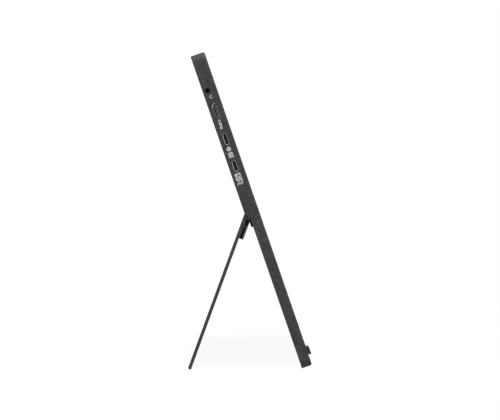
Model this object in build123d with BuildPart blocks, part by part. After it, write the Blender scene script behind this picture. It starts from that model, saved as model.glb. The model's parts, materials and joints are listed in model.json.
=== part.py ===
from build123d import *

import os
from math import acos, atan2, cos, hypot, radians, sin, sqrt

os.makedirs("parts", exist_ok=True)

# A slim desk display that stands on a full-width fold-out stand.
#
# Every piece is drawn as it lies with the stand closed: x runs across (the sockets
# are at negative x), y runs up from the bottom edge, and z runs from the upper rear
# face towards the screen. The planes `display` and `stand` put those drawings where
# they are with the stand open: the plane `stand` is turned about the hinge axis.

# ---------------------------------------------------------------- driving dimensions
# Display body
body_width = 398.0
body_height = 254.5
body_thickness = 11.2
corner_radius = 6.0
front_edge_radius = 1.5
rear_edge_radius = 1.0
rear_wall = 1.5
rim_wall = 1.8
ledge_width = 1.2
floor_wall = 1.2

# Stand and hinge
opening_angle = 39.1
hinge_height = 126.4
hinge_depth = 1.6
tip_overhang = 1.5
stand_thickness = 2.6
stand_gap = 0.3
stand_side_inset = 0.5
seat_clearance = 0.5
hinge_inset = 28.0
hinge_length = 40.0
base_knuckle_length = 18.8
knuckle_gap = 0.3
pin_radius = 0.8
pin_clearance = 0.03
base_leaf_thickness = 1.0
base_leaf_length = 20.0
base_leaf_width = 28.0
moving_leaf_length = 18.5
cover_start = 4.0
cover_length = 16.1
cover_width = 44.0
cover_thickness = 3.4
cover_wall = 1.4
cover_radius = 0.8
cover_lip = 0.8
cover_mouth = 8.8
cover_rib = 1.2
cover_rib_spread = 7.0
gusset_width = 1.6
gusset_gap = 0.3
gusset_rise = 3.7
gusset_land = 1.0
pocket_wall = 0.9
pocket_clearance = 0.5
cheek_width = 2.4
cheek_length = 6.3

# Feet, bumpers and pads
foot_length = 120.0
foot_inset = 84.0
foot_width = 3.4
foot_drop = 0.4
foot_depth = 0.8
foot_round = 0.4
tip_strip_inset = 18.5
tip_strip_height = 3.0
tip_strip_proud = 0.4
tongue_length = 2.0
tongue_thickness = 0.9
stand_corner_radius = 3.0
bumper_length = 20.0
bumper_low = 7.3
bumper_height = 6.0
bumper_proud = 2.3
bumper_round = 1.2
bumper_undercut = 0.9
bumper_inset = 24.0
plug_radius = 1.4
plug_head_radius = 2.2
plug_head_thickness = 0.6
plug_spacing = 12.0
pad_start = 5.5
pad_height = 6.2
pad_length = 12.0
pad_proud = 1.4
pad_sunk = 0.5
pad_inset = 60.0
pad_clearance = 0.4
magnet_radius = 4.0
magnet_thickness = 1.4
magnet_rise = 13.6
magnet_inset = 89.0
magnet_spacing = 40.0
nick_low = 21.0
nick_length = 4.4
nick_depth = 0.9

# Screen and its frame
screen_side_margin = 8.05
screen_top_margin = 8.0
chin_height = 31.7
bezel_thickness = 0.8
bezel_clearance = 0.15
tape_thickness = 0.2
glass_thickness = 0.6
glass_border = 2.6
glass_bottom_border = 6.0
gasket_width = 1.6
tray_border = 0.6
tray_wall = 0.5
tray_floor = 0.3
film_thickness = 0.3
film_gap = 0.1
guide_thickness = 0.9
reflector_thickness = 0.2
led_bar_height = 2.4
led_gap = 0.3
sheet_clearance = 0.5
rib_width = 6.0
upper_rib_inset = 139.0
lower_rib_inset = 104.0
rib_end_gap = 12.0
rib_board_gap = 1.6

# Boards and cables
board_thickness = 0.8
board_width = 80.0
board_hinge_gap = 4.0
board_top_margin = 18.5
board_edge_gap = 0.2
source_board_gap = 5.0
source_screw_inset = 8.0
source_board_height = 14.0
source_board_low = 7.0
scaler_size = 15.0
scaler_height = 1.1
memory_width = 9.0
memory_length = 13.0
memory_height = 0.9
chip_rise = 10.0
chip_spacing = 20.0
coil_size = 6.0
coil_height = 2.4
coil_pitch = 8.0
coil_shift = 4.0
plug_height = 1.2
plug_margin = 3.0
plug_width = 5.0
tail_width = 6.0
tail_length = 6.0
tail_edge = 1.0
speaker_plug_rise = 12.0
key_tail_shift = 11.0
cable_rise = 8.0
ribbon_thickness = 0.15
display_cable_width = 11.0
speaker_cable_width = 4.0
key_cable_width = 5.0
cable_gap = 2.0
flex_film_width = 24.0
flex_film_overlap = 4.0

# Sockets in the side, measured down from the top edge and in from the rear face
port_depth = 5.07
jack_drop = 29.3
jack_depth = 3.75
jack_bore_radius = 1.8
jack_nose_radius = 2.5
jack_body_length = 12.0
jack_body_width = 6.5
jack_body_height = 4.2
jack_end_wall = 1.0
video_drop = 45.8
video_length = 11.3
video_height = 3.2
video_chamfer = 0.9
upper_oval_drop = 69.1
lower_oval_drop = 90.8
oval_length = 9.0
oval_height = 3.2
socket_depth = 7.3
socket_shell = 0.3
socket_recess = 0.2
socket_clearance = 0.2
tongue_plate = 0.7
tongue_recess = 1.0
video_tongue_width = 7.9
oval_tongue_width = 6.7
status_drop = 21.5
status_depth = 3.8
status_radius = 0.5
led_length = 1.6
led_width = 1.0
led_height = 0.8

# Keys in the other side
key_length = 10.0
key_width = 2.4
key_clearance = 0.2
key_travel = 0.4
key_flange = 1.0
key_flange_thickness = 1.0
key_flange_gap = 0.1
key_stop_gap = 0.1
key_wall = 1.5
power_drop = 28.6
plus_drop = 56.0
minus_drop = 72.0
key_board_width = 16.0
switch_body_depth = 4.0
switch_body_size = 4.6
switch_height = 2.6
switch_plunger = 1.0
plunger_length = 2.4
plunger_width = 1.2

# Speakers
speaker_length = 40.0
speaker_height = 14.0
speaker_depth = 4.0
speaker_step = 3.0
speaker_plate = 0.4
speaker_inset = 34.0
speaker_hole_radius = 0.6
speaker_hole_pitch = 2.5
speaker_hole_count = 12
mesh_thickness = 0.2
mesh_height = 3.0

# Screws
screw_radius = 1.0
screw_head_radius = 1.9
screw_head_height = 0.8
screw_bite = 1.5
hinge_screw_spread = 9.0
hinge_screw_low = 10.0
hinge_screw_high = 16.5
leaf_screw_spread = 14.0
leaf_screw_near = 8.0
leaf_screw_step = 6.5
board_screw_margin = 19.0
board_screw_edge = 5.0
key_screw_edge = 4.0
screw_clearance = 0.15
thread_clearance = 0.03
socket_size = 0.75
boss_radius = 2.5

# ---------------------------------------------------------------- derived dimensions
side = body_width / 2
recess_depth = stand_thickness + stand_gap
lower_floor = recess_depth + floor_wall
inner_wall = rim_wall + ledge_width
inner_side = side - inner_wall
bezel_back = body_thickness - bezel_thickness
ledge_level = bezel_back - tape_thickness

# The stack behind the bezel: gasket, glass, films, light guide, reflector, tray
glass_back = ledge_level - glass_thickness
films_back = glass_back - film_gap - film_thickness
guide_back = films_back - guide_thickness
tray_inside = guide_back - reflector_thickness
tray_back = tray_inside - tray_floor
rib_top = tray_back - tape_thickness

# The stand reaches just past the bottom edge of the display
stand_length = hinge_height + tip_overhang

# Hinge seat in the case
seat_radius = hinge_depth + seat_clearance
trough_radius = seat_radius + floor_wall
seam_height = hinge_height + sqrt(seat_radius**2 - hinge_depth**2)
upper_floor_low = hinge_height + trough_radius
hinge_x = side - hinge_inset
cover_front = stand_thickness + cover_thickness
pocket_depth = cover_front + stand_gap
cover_swing = hypot(cover_start + cover_length, cover_front - hinge_depth)
pocket_low = hinge_height - cover_swing - pocket_clearance
gusset_middle = cover_width / 2 + gusset_gap + gusset_width / 2
pocket_half = gusset_middle + gusset_width / 2 + pocket_clearance

# Boards sit on low bosses, and the sockets stand on their boards
board_front = port_depth - oval_height / 2
board_back = board_front - board_thickness
board_left = -inner_side + board_edge_gap
board_right = board_left + board_width
board_low = hinge_height + base_leaf_length + board_hinge_gap
board_high = body_height - board_top_margin
chip_x = (board_left + board_right) / 2
chip_y = (board_low + board_high) / 2 + chip_rise
leaf_back = 2 * hinge_depth - base_leaf_thickness

screen_width = body_width - 2 * screen_side_margin
screen_high = body_height - screen_top_margin
screen_low = chin_height
glass_low = screen_low - glass_bottom_border
glass_high = screen_high + glass_border
glass_half = screen_width / 2 + glass_border
tray_half = glass_half + tray_border
tray_low = glass_low - tray_border
tray_high = glass_high + tray_border

# Ribs that carry the screen, between the boards, the hinges and the chin
upper_rib_x = side - upper_rib_inset
upper_rib_y = (board_low, board_high - rib_board_gap)
lower_rib_x = side - lower_rib_inset
lower_rib_y = (glass_low + rib_end_gap, hinge_height - trough_radius - rib_end_gap)

# ---------------------------------------------------------------- how it stands
# The rubber foot under the display and the round tip of the stand both touch the
# floor, which settles how far the display leans for a given opening of the stand.
opening = radians(opening_angle)
tip_radius = stand_thickness / 2
tip_arm = stand_length - tip_radius
tip_offset = hinge_depth - tip_radius
foot_arm = hinge_height + foot_drop - foot_round
foot_offset = recess_depth + foot_round - hinge_depth
along = tip_arm * cos(opening) - tip_offset * sin(opening) - foot_arm
across = tip_arm * sin(opening) + tip_offset * cos(opening) + foot_offset
lean = atan2(across, along) - acos((foot_round - tip_radius) / hypot(along, across))
stand_lean = opening - lean
hinge_z = foot_arm * cos(lean) - foot_offset * sin(lean) + foot_round


def forward_reach(y, z, radius):
    """How far a rounded corner of the display reaches forward of the hinge axis."""
    return (hinge_height - y) * sin(lean) + (z - hinge_depth) * cos(lean) + radius


tip_reach = tip_arm * sin(stand_lean) + tip_offset * cos(stand_lean) + tip_radius
top_reach = -forward_reach(body_height - rear_edge_radius, rear_edge_radius, -rear_edge_radius)
chin_reach = forward_reach(front_edge_radius, body_thickness - front_edge_radius, front_edge_radius)
bumper_reach = forward_reach(bumper_low, body_thickness + bumper_proud, 0)
hinge_y = (max(chin_reach, bumper_reach) - max(tip_reach, top_reach)) / 2


def leaning_frame(angle):
    """The closed drawing's frame, leaning back by an angle about the hinge axis."""
    origin_y = hinge_y - hinge_height * sin(angle) + hinge_depth * cos(angle)
    origin_z = hinge_z - hinge_height * cos(angle) - hinge_depth * sin(angle)
    return Plane(origin=(0, origin_y, origin_z), x_dir=(1, 0, 0), z_dir=(0, -cos(angle), sin(angle)))


def side_view(frame):
    """The same frame seen along x: its sketches are drawn as (y, z)."""
    return Plane(origin=frame.origin, x_dir=frame.y_dir, z_dir=frame.x_dir)


def edge_view(frame):
    """The same frame seen along y: its sketches are drawn as (z, x)."""
    return Plane(origin=frame.origin, x_dir=frame.z_dir, z_dir=frame.y_dir)


display = leaning_frame(lean)
stand = leaning_frame(-stand_lean)


# ---------------------------------------------------------------- drawing helpers
def block(frame, x_span, y_span, z_span, mode=Mode.ADD):
    """A rectangular block, added to or cut from the part under way."""
    with BuildSketch(frame.offset(z_span[0])) as outline:
        with Locations((sum(x_span) / 2, sum(y_span) / 2)):
            Rectangle(x_span[1] - x_span[0], y_span[1] - y_span[0])
    extrude(outline.sketch, amount=z_span[1] - z_span[0], mode=mode)


def discs(frame, places, radius, z_span, mode=Mode.ADD):
    """Round bosses or holes along z, one at each place."""
    with BuildSketch(frame.offset(z_span[0])) as outline:
        with Locations(*places):
            Circle(radius)
    extrude(outline.sketch, amount=z_span[1] - z_span[0], mode=mode)


def rod(frame, centre, radius, x_span, mode=Mode.ADD):
    """A round bar or bore along x, centred at (y, z)."""
    with BuildSketch(side_view(frame).offset(x_span[0])) as outline:
        with Locations(centre):
            Circle(radius)
    extrude(outline.sketch, amount=x_span[1] - x_span[0], mode=mode)


def prism(frame, points, x_span, mode=Mode.ADD):
    """A straight-sided section drawn as (y, z) points and drawn out along x."""
    with BuildSketch(side_view(frame).offset(x_span[0])) as outline:
        with BuildLine():
            Polyline(*points, close=True)
        make_face()
    extrude(outline.sketch, amount=x_span[1] - x_span[0], mode=mode)


def plate(frame, width, y_span, radius, z_span, mode=Mode.ADD):
    """A plate with rounded corners, centred across the display."""
    with BuildSketch(frame.offset(z_span[0])) as outline:
        with Locations((0, sum(y_span) / 2)):
            RectangleRounded(width, y_span[1] - y_span[0], radius)
    extrude(outline.sketch, amount=z_span[1] - z_span[0], mode=mode)


def side_slot(frame, centre, length, width, x_span, mode=Mode.ADD):
    """A bar or window with round ends, seen from the side, centred at (y, z)."""
    with BuildSketch(side_view(frame).offset(x_span[0])) as outline:
        with Locations(centre):
            SlotOverall(length, width)
    extrude(outline.sketch, amount=x_span[1] - x_span[0], mode=mode)


def ribbon(frame, route, x_span):
    """A flat cable whose rear face follows (y, z) points."""
    front = [(y, z + ribbon_thickness) for y, z in reversed(route)]
    prism(frame, [*route, *front], x_span)


def screws(frame, places, seat, length):
    """Low-head screws driven towards the rear, heads resting at z = seat."""
    discs(frame, places, screw_head_radius, (seat, seat + screw_head_height))
    discs(frame, places, screw_radius, (seat - length, seat))
    with BuildSketch(frame.offset(seat + screw_head_height)) as sockets:
        with Locations(*places):
            RegularPolygon(socket_size, 6)
    extrude(sockets.sketch, amount=-screw_head_height / 2, mode=Mode.SUBTRACT)


def save(piece, name):
    """Label a finished piece and write it under its own name."""
    piece.part.label = name
    export_step(piece.part, f"parts/{name}.step")


def span(centre, size):
    """The low and high ends of a stretch of a size about its centre."""
    return (centre - size / 2, centre + size / 2)


# ---------------------------------------------------------------- shared places
sides = (("left", -1), ("right", 1))
case_x = (-side, side)
hinge_axis = (hinge_height, hinge_depth)
hinge_screw_places = [
    (end * hinge_x + step * hinge_screw_spread, hinge_height + rise)
    for _, end in sides
    for step in (-1, 1)
    for rise in (hinge_screw_low, hinge_screw_high)
]
leaf_screw_places = [
    (end * hinge_x + step * leaf_screw_spread, hinge_height - leaf_screw_near - drop)
    for _, end in sides
    for step, drop in ((-1, 0), (1, 0), (0, leaf_screw_step))
]
board_screw_places = [
    (x, y)
    for x in (board_left + board_screw_margin, board_right - board_screw_margin)
    for y in (board_low + board_screw_edge, board_high - board_screw_edge)
]
source_board_y = source_board_low + source_board_height / 2
source_board_half = side - speaker_inset - speaker_length / 2 - source_board_gap
source_screw_x = source_board_half - source_screw_inset
source_screw_places = [
    (x, source_board_y) for x in (-source_screw_x, -source_screw_x / 3, source_screw_x / 3, source_screw_x)
]
source_board_front = glass_back
source_board_back = source_board_front - board_thickness
key_board_low = body_height - minus_drop - key_length
key_board_high = body_height - power_drop + key_length
key_board_x = (inner_side - board_edge_gap - key_board_width, inner_side - board_edge_gap)
key_screw_places = [
    (key_board_x[0] + key_screw_edge, y)
    for y in (key_board_low + key_screw_edge, key_board_high - key_screw_edge)
]
keys = (("power_button", power_drop), ("plus_key", plus_drop), ("minus_key", minus_drop))
oval_sockets = (("oval_socket_upper", upper_oval_drop), ("oval_socket_lower", lower_oval_drop))
magnet_centres = [
    (end * (side - magnet_inset - step), hinge_height - stand_length + magnet_rise)
    for _, end in sides
    for step in (0, magnet_spacing)
]
speaker_x = side - speaker_inset
speaker_y = (inner_wall + mesh_thickness, inner_wall + mesh_thickness + speaker_height)
speaker_z = lower_floor + speaker_depth / 2
bumper_x = side - bumper_inset
bumper_y = bumper_low + bumper_height / 2 + bumper_undercut / 2
plug_places = [
    (end * bumper_x + step * plug_spacing / 2, bumper_y) for _, end in sides for step in (-1, 1)
]
pad_x = side - pad_inset
pad_y = (hinge_height - pad_start - pad_height, hinge_height - pad_start)
socket_mouth = -side + socket_recess
cover_y = (hinge_height - cover_start - cover_length, hinge_height - cover_start)
tip = hinge_height - stand_length
tip_seat = tip + tip_strip_height
stand_half = side - stand_side_inset
root_half = side - cheek_width - stand_gap
display_cable_x = (board_right - display_cable_width - tail_edge, board_right - tail_edge)
speaker_cable_x = (board_right + cable_gap, board_right + cable_gap + speaker_cable_width)
speaker_cable_y = (speaker_y[1], speaker_y[1] + speaker_cable_width)


# ---------------------------------------------------------------- rear shell
def cut_windows():
    """Windows for the sockets, the status light, the keys and the speakers."""
    through = (-side - 1, -inner_side + 1)
    rod(display, (body_height - jack_drop, jack_depth), jack_nose_radius + socket_clearance / 2,
        through, Mode.SUBTRACT)
    rod(display, (body_height - status_drop, status_depth), status_radius + socket_clearance / 2,
        through, Mode.SUBTRACT)
    video_y = span(body_height - video_drop, video_length + 2 * socket_clearance)
    block(display, through, video_y, span(port_depth, video_height + 2 * socket_clearance),
          Mode.SUBTRACT)
    for _, drop in oval_sockets:
        side_slot(display, (body_height - drop, port_depth), oval_length + 2 * socket_clearance,
                  oval_height + 2 * socket_clearance, through, Mode.SUBTRACT)
    for _, drop in keys:
        key_y = body_height - drop
        side_slot(display, (key_y, port_depth), key_length + 2 * key_clearance,
                  key_width + 2 * key_clearance, (side - key_wall - 1, side + 1), Mode.SUBTRACT)
        room = 2 * (key_flange + key_clearance)
        block(display, (inner_side - 1, side - key_wall), span(key_y, key_length + room),
              span(port_depth, key_width + room), Mode.SUBTRACT)
    with BuildSketch(edge_view(display)) as holes:
        for _, end in sides:
            with Locations((speaker_z, end * speaker_x)):
                with GridLocations(1, speaker_hole_pitch, 1, speaker_hole_count):
                    Circle(speaker_hole_radius)
    extrude(holes.sketch, amount=inner_wall, mode=Mode.SUBTRACT)


def cut_stand_seat():
    """The recess, seat and pockets that the closed stand lies in."""
    ramp_low = seam_height - cheek_length
    ramp = [(-1, -1), (-1, recess_depth), (ramp_low, recess_depth), (seam_height, 0), (seam_height, -1)]
    prism(display, ramp, (-side - 1, side + 1), Mode.SUBTRACT)
    between_cheeks = (-side + cheek_width, side - cheek_width)
    block(display, between_cheeks, (-1, hinge_height), (-1, recess_depth), Mode.SUBTRACT)
    rod(display, hinge_axis, seat_radius, between_cheeks, Mode.SUBTRACT)
    for _, end in sides:
        pocket_x = span(end * hinge_x, 2 * pocket_half)
        block(display, pocket_x, (pocket_low, hinge_height), (0, pocket_depth), Mode.SUBTRACT)
        leaf_x = span(end * hinge_x, base_knuckle_length + 2 * knuckle_gap)
        leaf_z = span(leaf_back + base_leaf_thickness / 2, base_leaf_thickness + 2 * knuckle_gap)
        block(display, leaf_x, (hinge_height, upper_floor_low + 1), leaf_z, Mode.SUBTRACT)
        pad_z = (recess_depth - 1, recess_depth + pad_sunk)
        block(display, span(end * pad_x, pad_length), pad_y, pad_z, Mode.SUBTRACT)
        nick_x = span(end * side, 2 * nick_depth)
        nick_y = (nick_low, nick_low + nick_length)
        block(display, nick_x, nick_y, (0, recess_depth + nick_depth), Mode.SUBTRACT)
        foot_x = span(end * (side - foot_inset), foot_length)
        foot_z = (recess_depth - 1, recess_depth + foot_width)
        block(display, foot_x, (-1, foot_depth), foot_z, Mode.SUBTRACT)


def add_inner_walls():
    """Trough behind the hinge seat, pocket trays, ribs and screw bosses."""
    inner_x = (-inner_side, inner_side)
    rod(display, hinge_axis, trough_radius, inner_x)
    block(display, case_x, (0, body_height), (-trough_radius, 0), Mode.SUBTRACT)
    for _, end in sides:
        tray_x = span(end * hinge_x, 2 * (pocket_half + pocket_wall))
        tray_y = (pocket_low - pocket_wall, hinge_height + pocket_wall)
        block(display, tray_x, tray_y, (recess_depth, pocket_depth + pocket_wall))
        block(display, span(end * upper_rib_x, rib_width), upper_rib_y, (rear_wall, rib_top))
        block(display, span(end * lower_rib_x, rib_width), lower_rib_y, (lower_floor, rib_top))
    discs(display, hinge_screw_places, boss_radius, (rear_wall, leaf_back))
    discs(display, board_screw_places + key_screw_places, boss_radius, (rear_wall, board_back))
    discs(display, source_screw_places, boss_radius, (lower_floor, source_board_back))


with BuildPart() as rear_shell:
    plate(display, body_width, (0, body_height), corner_radius, (0, body_thickness))
    thickness_axis = Axis(display.origin, display.z_dir)
    front_face = rear_shell.faces().sort_by(thickness_axis)[-1]
    fillet(front_face.edges(), radius=front_edge_radius)
    rear_face = rear_shell.faces().sort_by(thickness_axis)[0]
    fillet(rear_face.edges(), radius=rear_edge_radius)
    plate(display, 2 * inner_side, (inner_wall, body_height - inner_wall),
          corner_radius - inner_wall, (lower_floor, ledge_level), Mode.SUBTRACT)
    plate(display, 2 * (side - rim_wall), (rim_wall, body_height - rim_wall),
          corner_radius - rim_wall, (ledge_level, body_thickness), Mode.SUBTRACT)
    plate(display, 2 * inner_side, (upper_floor_low, body_height - inner_wall),
          corner_radius - inner_wall, (rear_wall, lower_floor), Mode.SUBTRACT)
    add_inner_walls()
    cut_stand_seat()
    cut_windows()
    thread_radius = screw_radius + thread_clearance
    discs(display, hinge_screw_places, thread_radius, (leaf_back - screw_bite, leaf_back), Mode.SUBTRACT)
    discs(display, board_screw_places + key_screw_places, thread_radius,
          (board_back - screw_bite, board_back), Mode.SUBTRACT)
    discs(display, source_screw_places, thread_radius,
          (source_board_back - screw_bite, source_board_back), Mode.SUBTRACT)
save(rear_shell, "rear_shell")

# ---------------------------------------------------------------- front bezel
bezel_edge = rim_wall + bezel_clearance
bezel_y = (bezel_edge, body_height - bezel_edge)
bezel_radius = corner_radius - bezel_edge

with BuildPart() as front_bezel:
    plate(display, body_width - 2 * bezel_edge, bezel_y, bezel_radius, (bezel_back, body_thickness))
    block(display, span(0, screen_width), (screen_low, screen_high), (bezel_back, body_thickness),
          Mode.SUBTRACT)
    discs(display, plug_places, plug_radius + thread_clearance, (bezel_back, body_thickness),
          Mode.SUBTRACT)
save(front_bezel, "front_bezel")

with BuildPart() as bezel_tape:
    plate(display, body_width - 2 * bezel_edge, bezel_y, bezel_radius, (ledge_level, bezel_back))
    plate(display, 2 * inner_side, (inner_wall, body_height - inner_wall),
          corner_radius - inner_wall, (ledge_level, bezel_back), Mode.SUBTRACT)
save(bezel_tape, "bezel_tape")

# ---------------------------------------------------------------- screen stack
glass_y = (glass_low, glass_high)
glass_x = (-glass_half, glass_half)

with BuildPart() as lcd_panel:
    block(display, glass_x, glass_y, (glass_back, ledge_level))
save(lcd_panel, "lcd_panel")

with BuildPart() as panel_gasket:
    block(display, glass_x, (screen_low - gasket_width, glass_high), (ledge_level, bezel_back))
    block(display, span(0, 2 * (glass_half - gasket_width)), (screen_low, glass_high - gasket_width),
          (ledge_level, bezel_back), Mode.SUBTRACT)
save(panel_gasket, "panel_gasket")

with BuildPart() as backlight_tray:
    block(display, (-tray_half, tray_half), (tray_low, tray_high), (tray_back, glass_back))
    block(display, span(0, 2 * (tray_half - tray_wall)), (tray_low + tray_wall, tray_high - tray_wall),
          (tray_inside, glass_back), Mode.SUBTRACT)
save(backlight_tray, "backlight_tray")

sheet_half = tray_half - tray_wall - sheet_clearance
sheet_low = tray_low + tray_wall + sheet_clearance
sheet_high = tray_high - tray_wall - sheet_clearance
guide_low = sheet_low + led_bar_height + led_gap

with BuildPart() as reflector_sheet:
    block(display, (-sheet_half, sheet_half), (sheet_low, sheet_high), (tray_inside, guide_back))
save(reflector_sheet, "reflector_sheet")

with BuildPart() as light_guide:
    block(display, (-sheet_half, sheet_half), (guide_low, sheet_high), (guide_back, films_back))
save(light_guide, "light_guide")

with BuildPart() as optical_films:
    block(display, (-sheet_half, sheet_half), (guide_low, sheet_high),
          (films_back, films_back + film_thickness))
save(optical_films, "optical_films")

with BuildPart() as led_bar:
    block(display, (-sheet_half, sheet_half), (sheet_low, sheet_low + led_bar_height),
          (guide_back, films_back))
save(led_bar, "led_bar")

with BuildPart() as panel_tapes:
    for _, end in sides:
        block(display, span(end * upper_rib_x, rib_width), upper_rib_y, (rib_top, tray_back))
        block(display, span(end * lower_rib_x, rib_width), lower_rib_y, (rib_top, tray_back))
save(panel_tapes, "panel_tapes")

# ---------------------------------------------------------------- boards
with BuildPart() as source_board:
    block(display, (-source_board_half, source_board_half),
          (source_board_low, source_board_low + source_board_height),
          (source_board_back, source_board_front))
    discs(display, source_screw_places, screw_radius + screw_clearance,
          (source_board_back, source_board_front), Mode.SUBTRACT)
save(source_board, "source_board")

with BuildPart() as panel_flex_films:
    film_low = source_board_low + source_board_height - flex_film_overlap
    film_spacing = 2 * source_screw_x / 3
    for film_x in (-film_spacing, 0, film_spacing):
        block(display, span(film_x, flex_film_width), (film_low, glass_low),
              (source_board_front, source_board_front + ribbon_thickness))
save(panel_flex_films, "panel_flex_films")

with BuildPart() as main_board:
    block(display, (board_left, board_right), (board_low, board_high), (board_back, board_front))
    block(display, (board_left, -side + jack_body_length + tail_edge),
          span(body_height - jack_drop, jack_body_width + 2 * socket_clearance),
          (board_back, board_front), Mode.SUBTRACT)
    discs(display, board_screw_places, screw_radius + screw_clearance, (board_back, board_front),
          Mode.SUBTRACT)
save(main_board, "main_board")


with BuildPart() as scaler_chip:
    block(display, span(chip_x, scaler_size), span(chip_y, scaler_size),
          (board_front, board_front + scaler_height))
save(scaler_chip, "scaler_chip")

with BuildPart() as memory_chip:
    block(display, span(chip_x + chip_spacing, memory_width), span(chip_y, memory_length),
          (board_front, board_front + memory_height))
save(memory_chip, "memory_chip")

with BuildPart() as power_inductors:
    for count in (3, 4, 5):
        block(display, span(chip_x + coil_shift, coil_size), span(chip_y - count * coil_pitch, coil_size),
              (board_front, board_front + coil_height))
save(power_inductors, "power_inductors")

display_plug_y = (board_low + plug_margin, board_low + plug_margin + plug_width)
plug_front = board_front + plug_height
speaker_plug_y = (board_low + speaker_plug_rise, board_low + speaker_plug_rise + tail_width)
board_tail_y = (board_high - tail_length, board_high - tail_edge)
key_tail_x = span(key_board_x[0] + key_tail_shift, tail_width)
key_tail_y = (key_board_high - tail_length, key_board_high - tail_edge)

with BuildPart() as board_connectors:
    block(display, display_cable_x, display_plug_y, (board_front, plug_front))
    under_z = (rear_wall + ribbon_thickness, board_back)
    block(display, (board_right - tail_length, board_right - tail_edge), speaker_plug_y, under_z)
    block(display, span(chip_x, tail_width), board_tail_y, under_z)
    block(display, key_tail_x, key_tail_y, under_z)
save(board_connectors, "board_connectors")

# ---------------------------------------------------------------- cables inside
with BuildPart() as display_cable:
    high_z = rib_top - ribbon_thickness
    chin_y = source_board_low + source_board_height
    route = [
        (display_plug_y[1], plug_front),
        (display_plug_y[0], plug_front),
        (display_plug_y[0] - cable_rise, high_z),
        (tray_low - stand_gap, high_z),
        (chin_y - tail_edge, source_board_back - ribbon_thickness),
        (chin_y - cable_rise, source_board_back - ribbon_thickness),
    ]
    ribbon(display, route, display_cable_x)
save(display_cable, "display_cable")

with BuildPart() as speaker_cable:
    block(display, (-speaker_x, speaker_x), speaker_cable_y,
          (lower_floor, lower_floor + ribbon_thickness))
    over_trough = hinge_depth + trough_radius + stand_gap
    route = [
        (speaker_cable_y[0], lower_floor),
        (hinge_height - 2 * trough_radius, lower_floor),
        (hinge_height - trough_radius, over_trough),
        (upper_floor_low, over_trough),
        (upper_floor_low + trough_radius, rear_wall),
        (speaker_plug_y[1], rear_wall),
    ]
    ribbon(display, route, speaker_cable_x)
    block(display, (board_right - tail_length, speaker_cable_x[1]), speaker_plug_y,
          (rear_wall, rear_wall + ribbon_thickness))
save(speaker_cable, "speaker_cable")

with BuildPart() as key_cable:
    cable_z = (rear_wall, rear_wall + ribbon_thickness)
    cable_y = (board_high + cable_gap, board_high + cable_gap + key_cable_width)
    block(display, (chip_x - tail_width / 2, key_tail_x[1]), cable_y, cable_z)
    block(display, span(chip_x, tail_width), (board_tail_y[0], cable_y[1]), cable_z)
    block(display, key_tail_x, (key_tail_y[0], cable_y[1]), cable_z)
save(key_cable, "key_cable")

# ---------------------------------------------------------------- sockets
jack_centre = (body_height - jack_drop, jack_depth)
video_centre = body_height - video_drop

with BuildPart() as headphone_jack:
    block(display, (-inner_side + board_edge_gap, -side + jack_body_length),
          span(jack_centre[0], jack_body_width), span(jack_depth, jack_body_height))
    rod(display, jack_centre, jack_nose_radius, (socket_mouth, -inner_side + 1))
    rod(display, jack_centre, jack_bore_radius, (socket_mouth, -side + jack_body_length - jack_end_wall),
        Mode.SUBTRACT)
save(headphone_jack, "headphone_jack")


def video_outline(inset):
    """The socket's mouth with its two rear corners cut off, drawn as (y, z)."""
    half = video_length / 2 - inset
    low = port_depth - video_height / 2 + inset
    high = port_depth + video_height / 2 - inset
    return [
        (video_centre - half, high),
        (video_centre + half, high),
        (video_centre + half, low + video_chamfer),
        (video_centre + half - video_chamfer, low),
        (video_centre - half + video_chamfer, low),
        (video_centre - half, low + video_chamfer),
    ]


socket_x = (socket_mouth, socket_mouth + socket_depth)
cavity_x = (socket_mouth, socket_mouth + socket_depth - socket_shell)
tongue_x = (socket_mouth + tongue_recess, socket_mouth + socket_depth - socket_shell)

with BuildPart() as video_socket:
    prism(display, video_outline(0), socket_x)
    prism(display, video_outline(socket_shell), cavity_x, Mode.SUBTRACT)
save(video_socket, "video_socket")

with BuildPart() as video_socket_tongue:
    block(display, tongue_x, span(video_centre, video_tongue_width), span(port_depth, tongue_plate))
save(video_socket_tongue, "video_socket_tongue")

for name, drop in oval_sockets:
    oval_centre = (body_height - drop, port_depth)
    with BuildPart() as oval_socket:
        side_slot(display, oval_centre, oval_length, oval_height, socket_x)
        side_slot(display, oval_centre, oval_length - 2 * socket_shell, oval_height - 2 * socket_shell,
                  cavity_x, Mode.SUBTRACT)
    save(oval_socket, name)

with BuildPart() as oval_socket_tongues:
    for _, drop in oval_sockets:
        block(display, tongue_x, span(body_height - drop, oval_tongue_width),
              span(port_depth, tongue_plate))
save(oval_socket_tongues, "oval_socket_tongues")

status_centre = (body_height - status_drop, status_depth)

with BuildPart() as status_light:
    rod(display, status_centre, status_radius, (-side, -inner_side))
save(status_light, "status_light")

with BuildPart() as status_led:
    block(display, (board_left, board_left + led_length), span(status_centre[0], led_width),
          (board_front, board_front + led_height))
save(status_led, "status_led")

# ---------------------------------------------------------------- keys
key_wall_inside = side - key_wall
flange_x = (
    key_wall_inside - key_flange_gap - key_flange_thickness,
    key_wall_inside - key_flange_gap,
)
plunger_face = flange_x[0] - key_travel - key_stop_gap

with BuildPart() as key_board:
    block(display, key_board_x, (key_board_low, key_board_high), (board_back, board_front))
    discs(display, key_screw_places, screw_radius + screw_clearance, (board_back, board_front),
          Mode.SUBTRACT)
save(key_board, "key_board")

with BuildPart() as key_switches:
    body_x = (plunger_face - switch_plunger - switch_body_depth, plunger_face - switch_plunger)
    for _, drop in keys:
        key_y = body_height - drop
        block(display, body_x, span(key_y, switch_body_size), (board_front, board_front + switch_height))
        block(display, (body_x[1], plunger_face), span(key_y, plunger_length),
              span(board_front + switch_height / 2, plunger_width))
save(key_switches, "key_switches")

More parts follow.
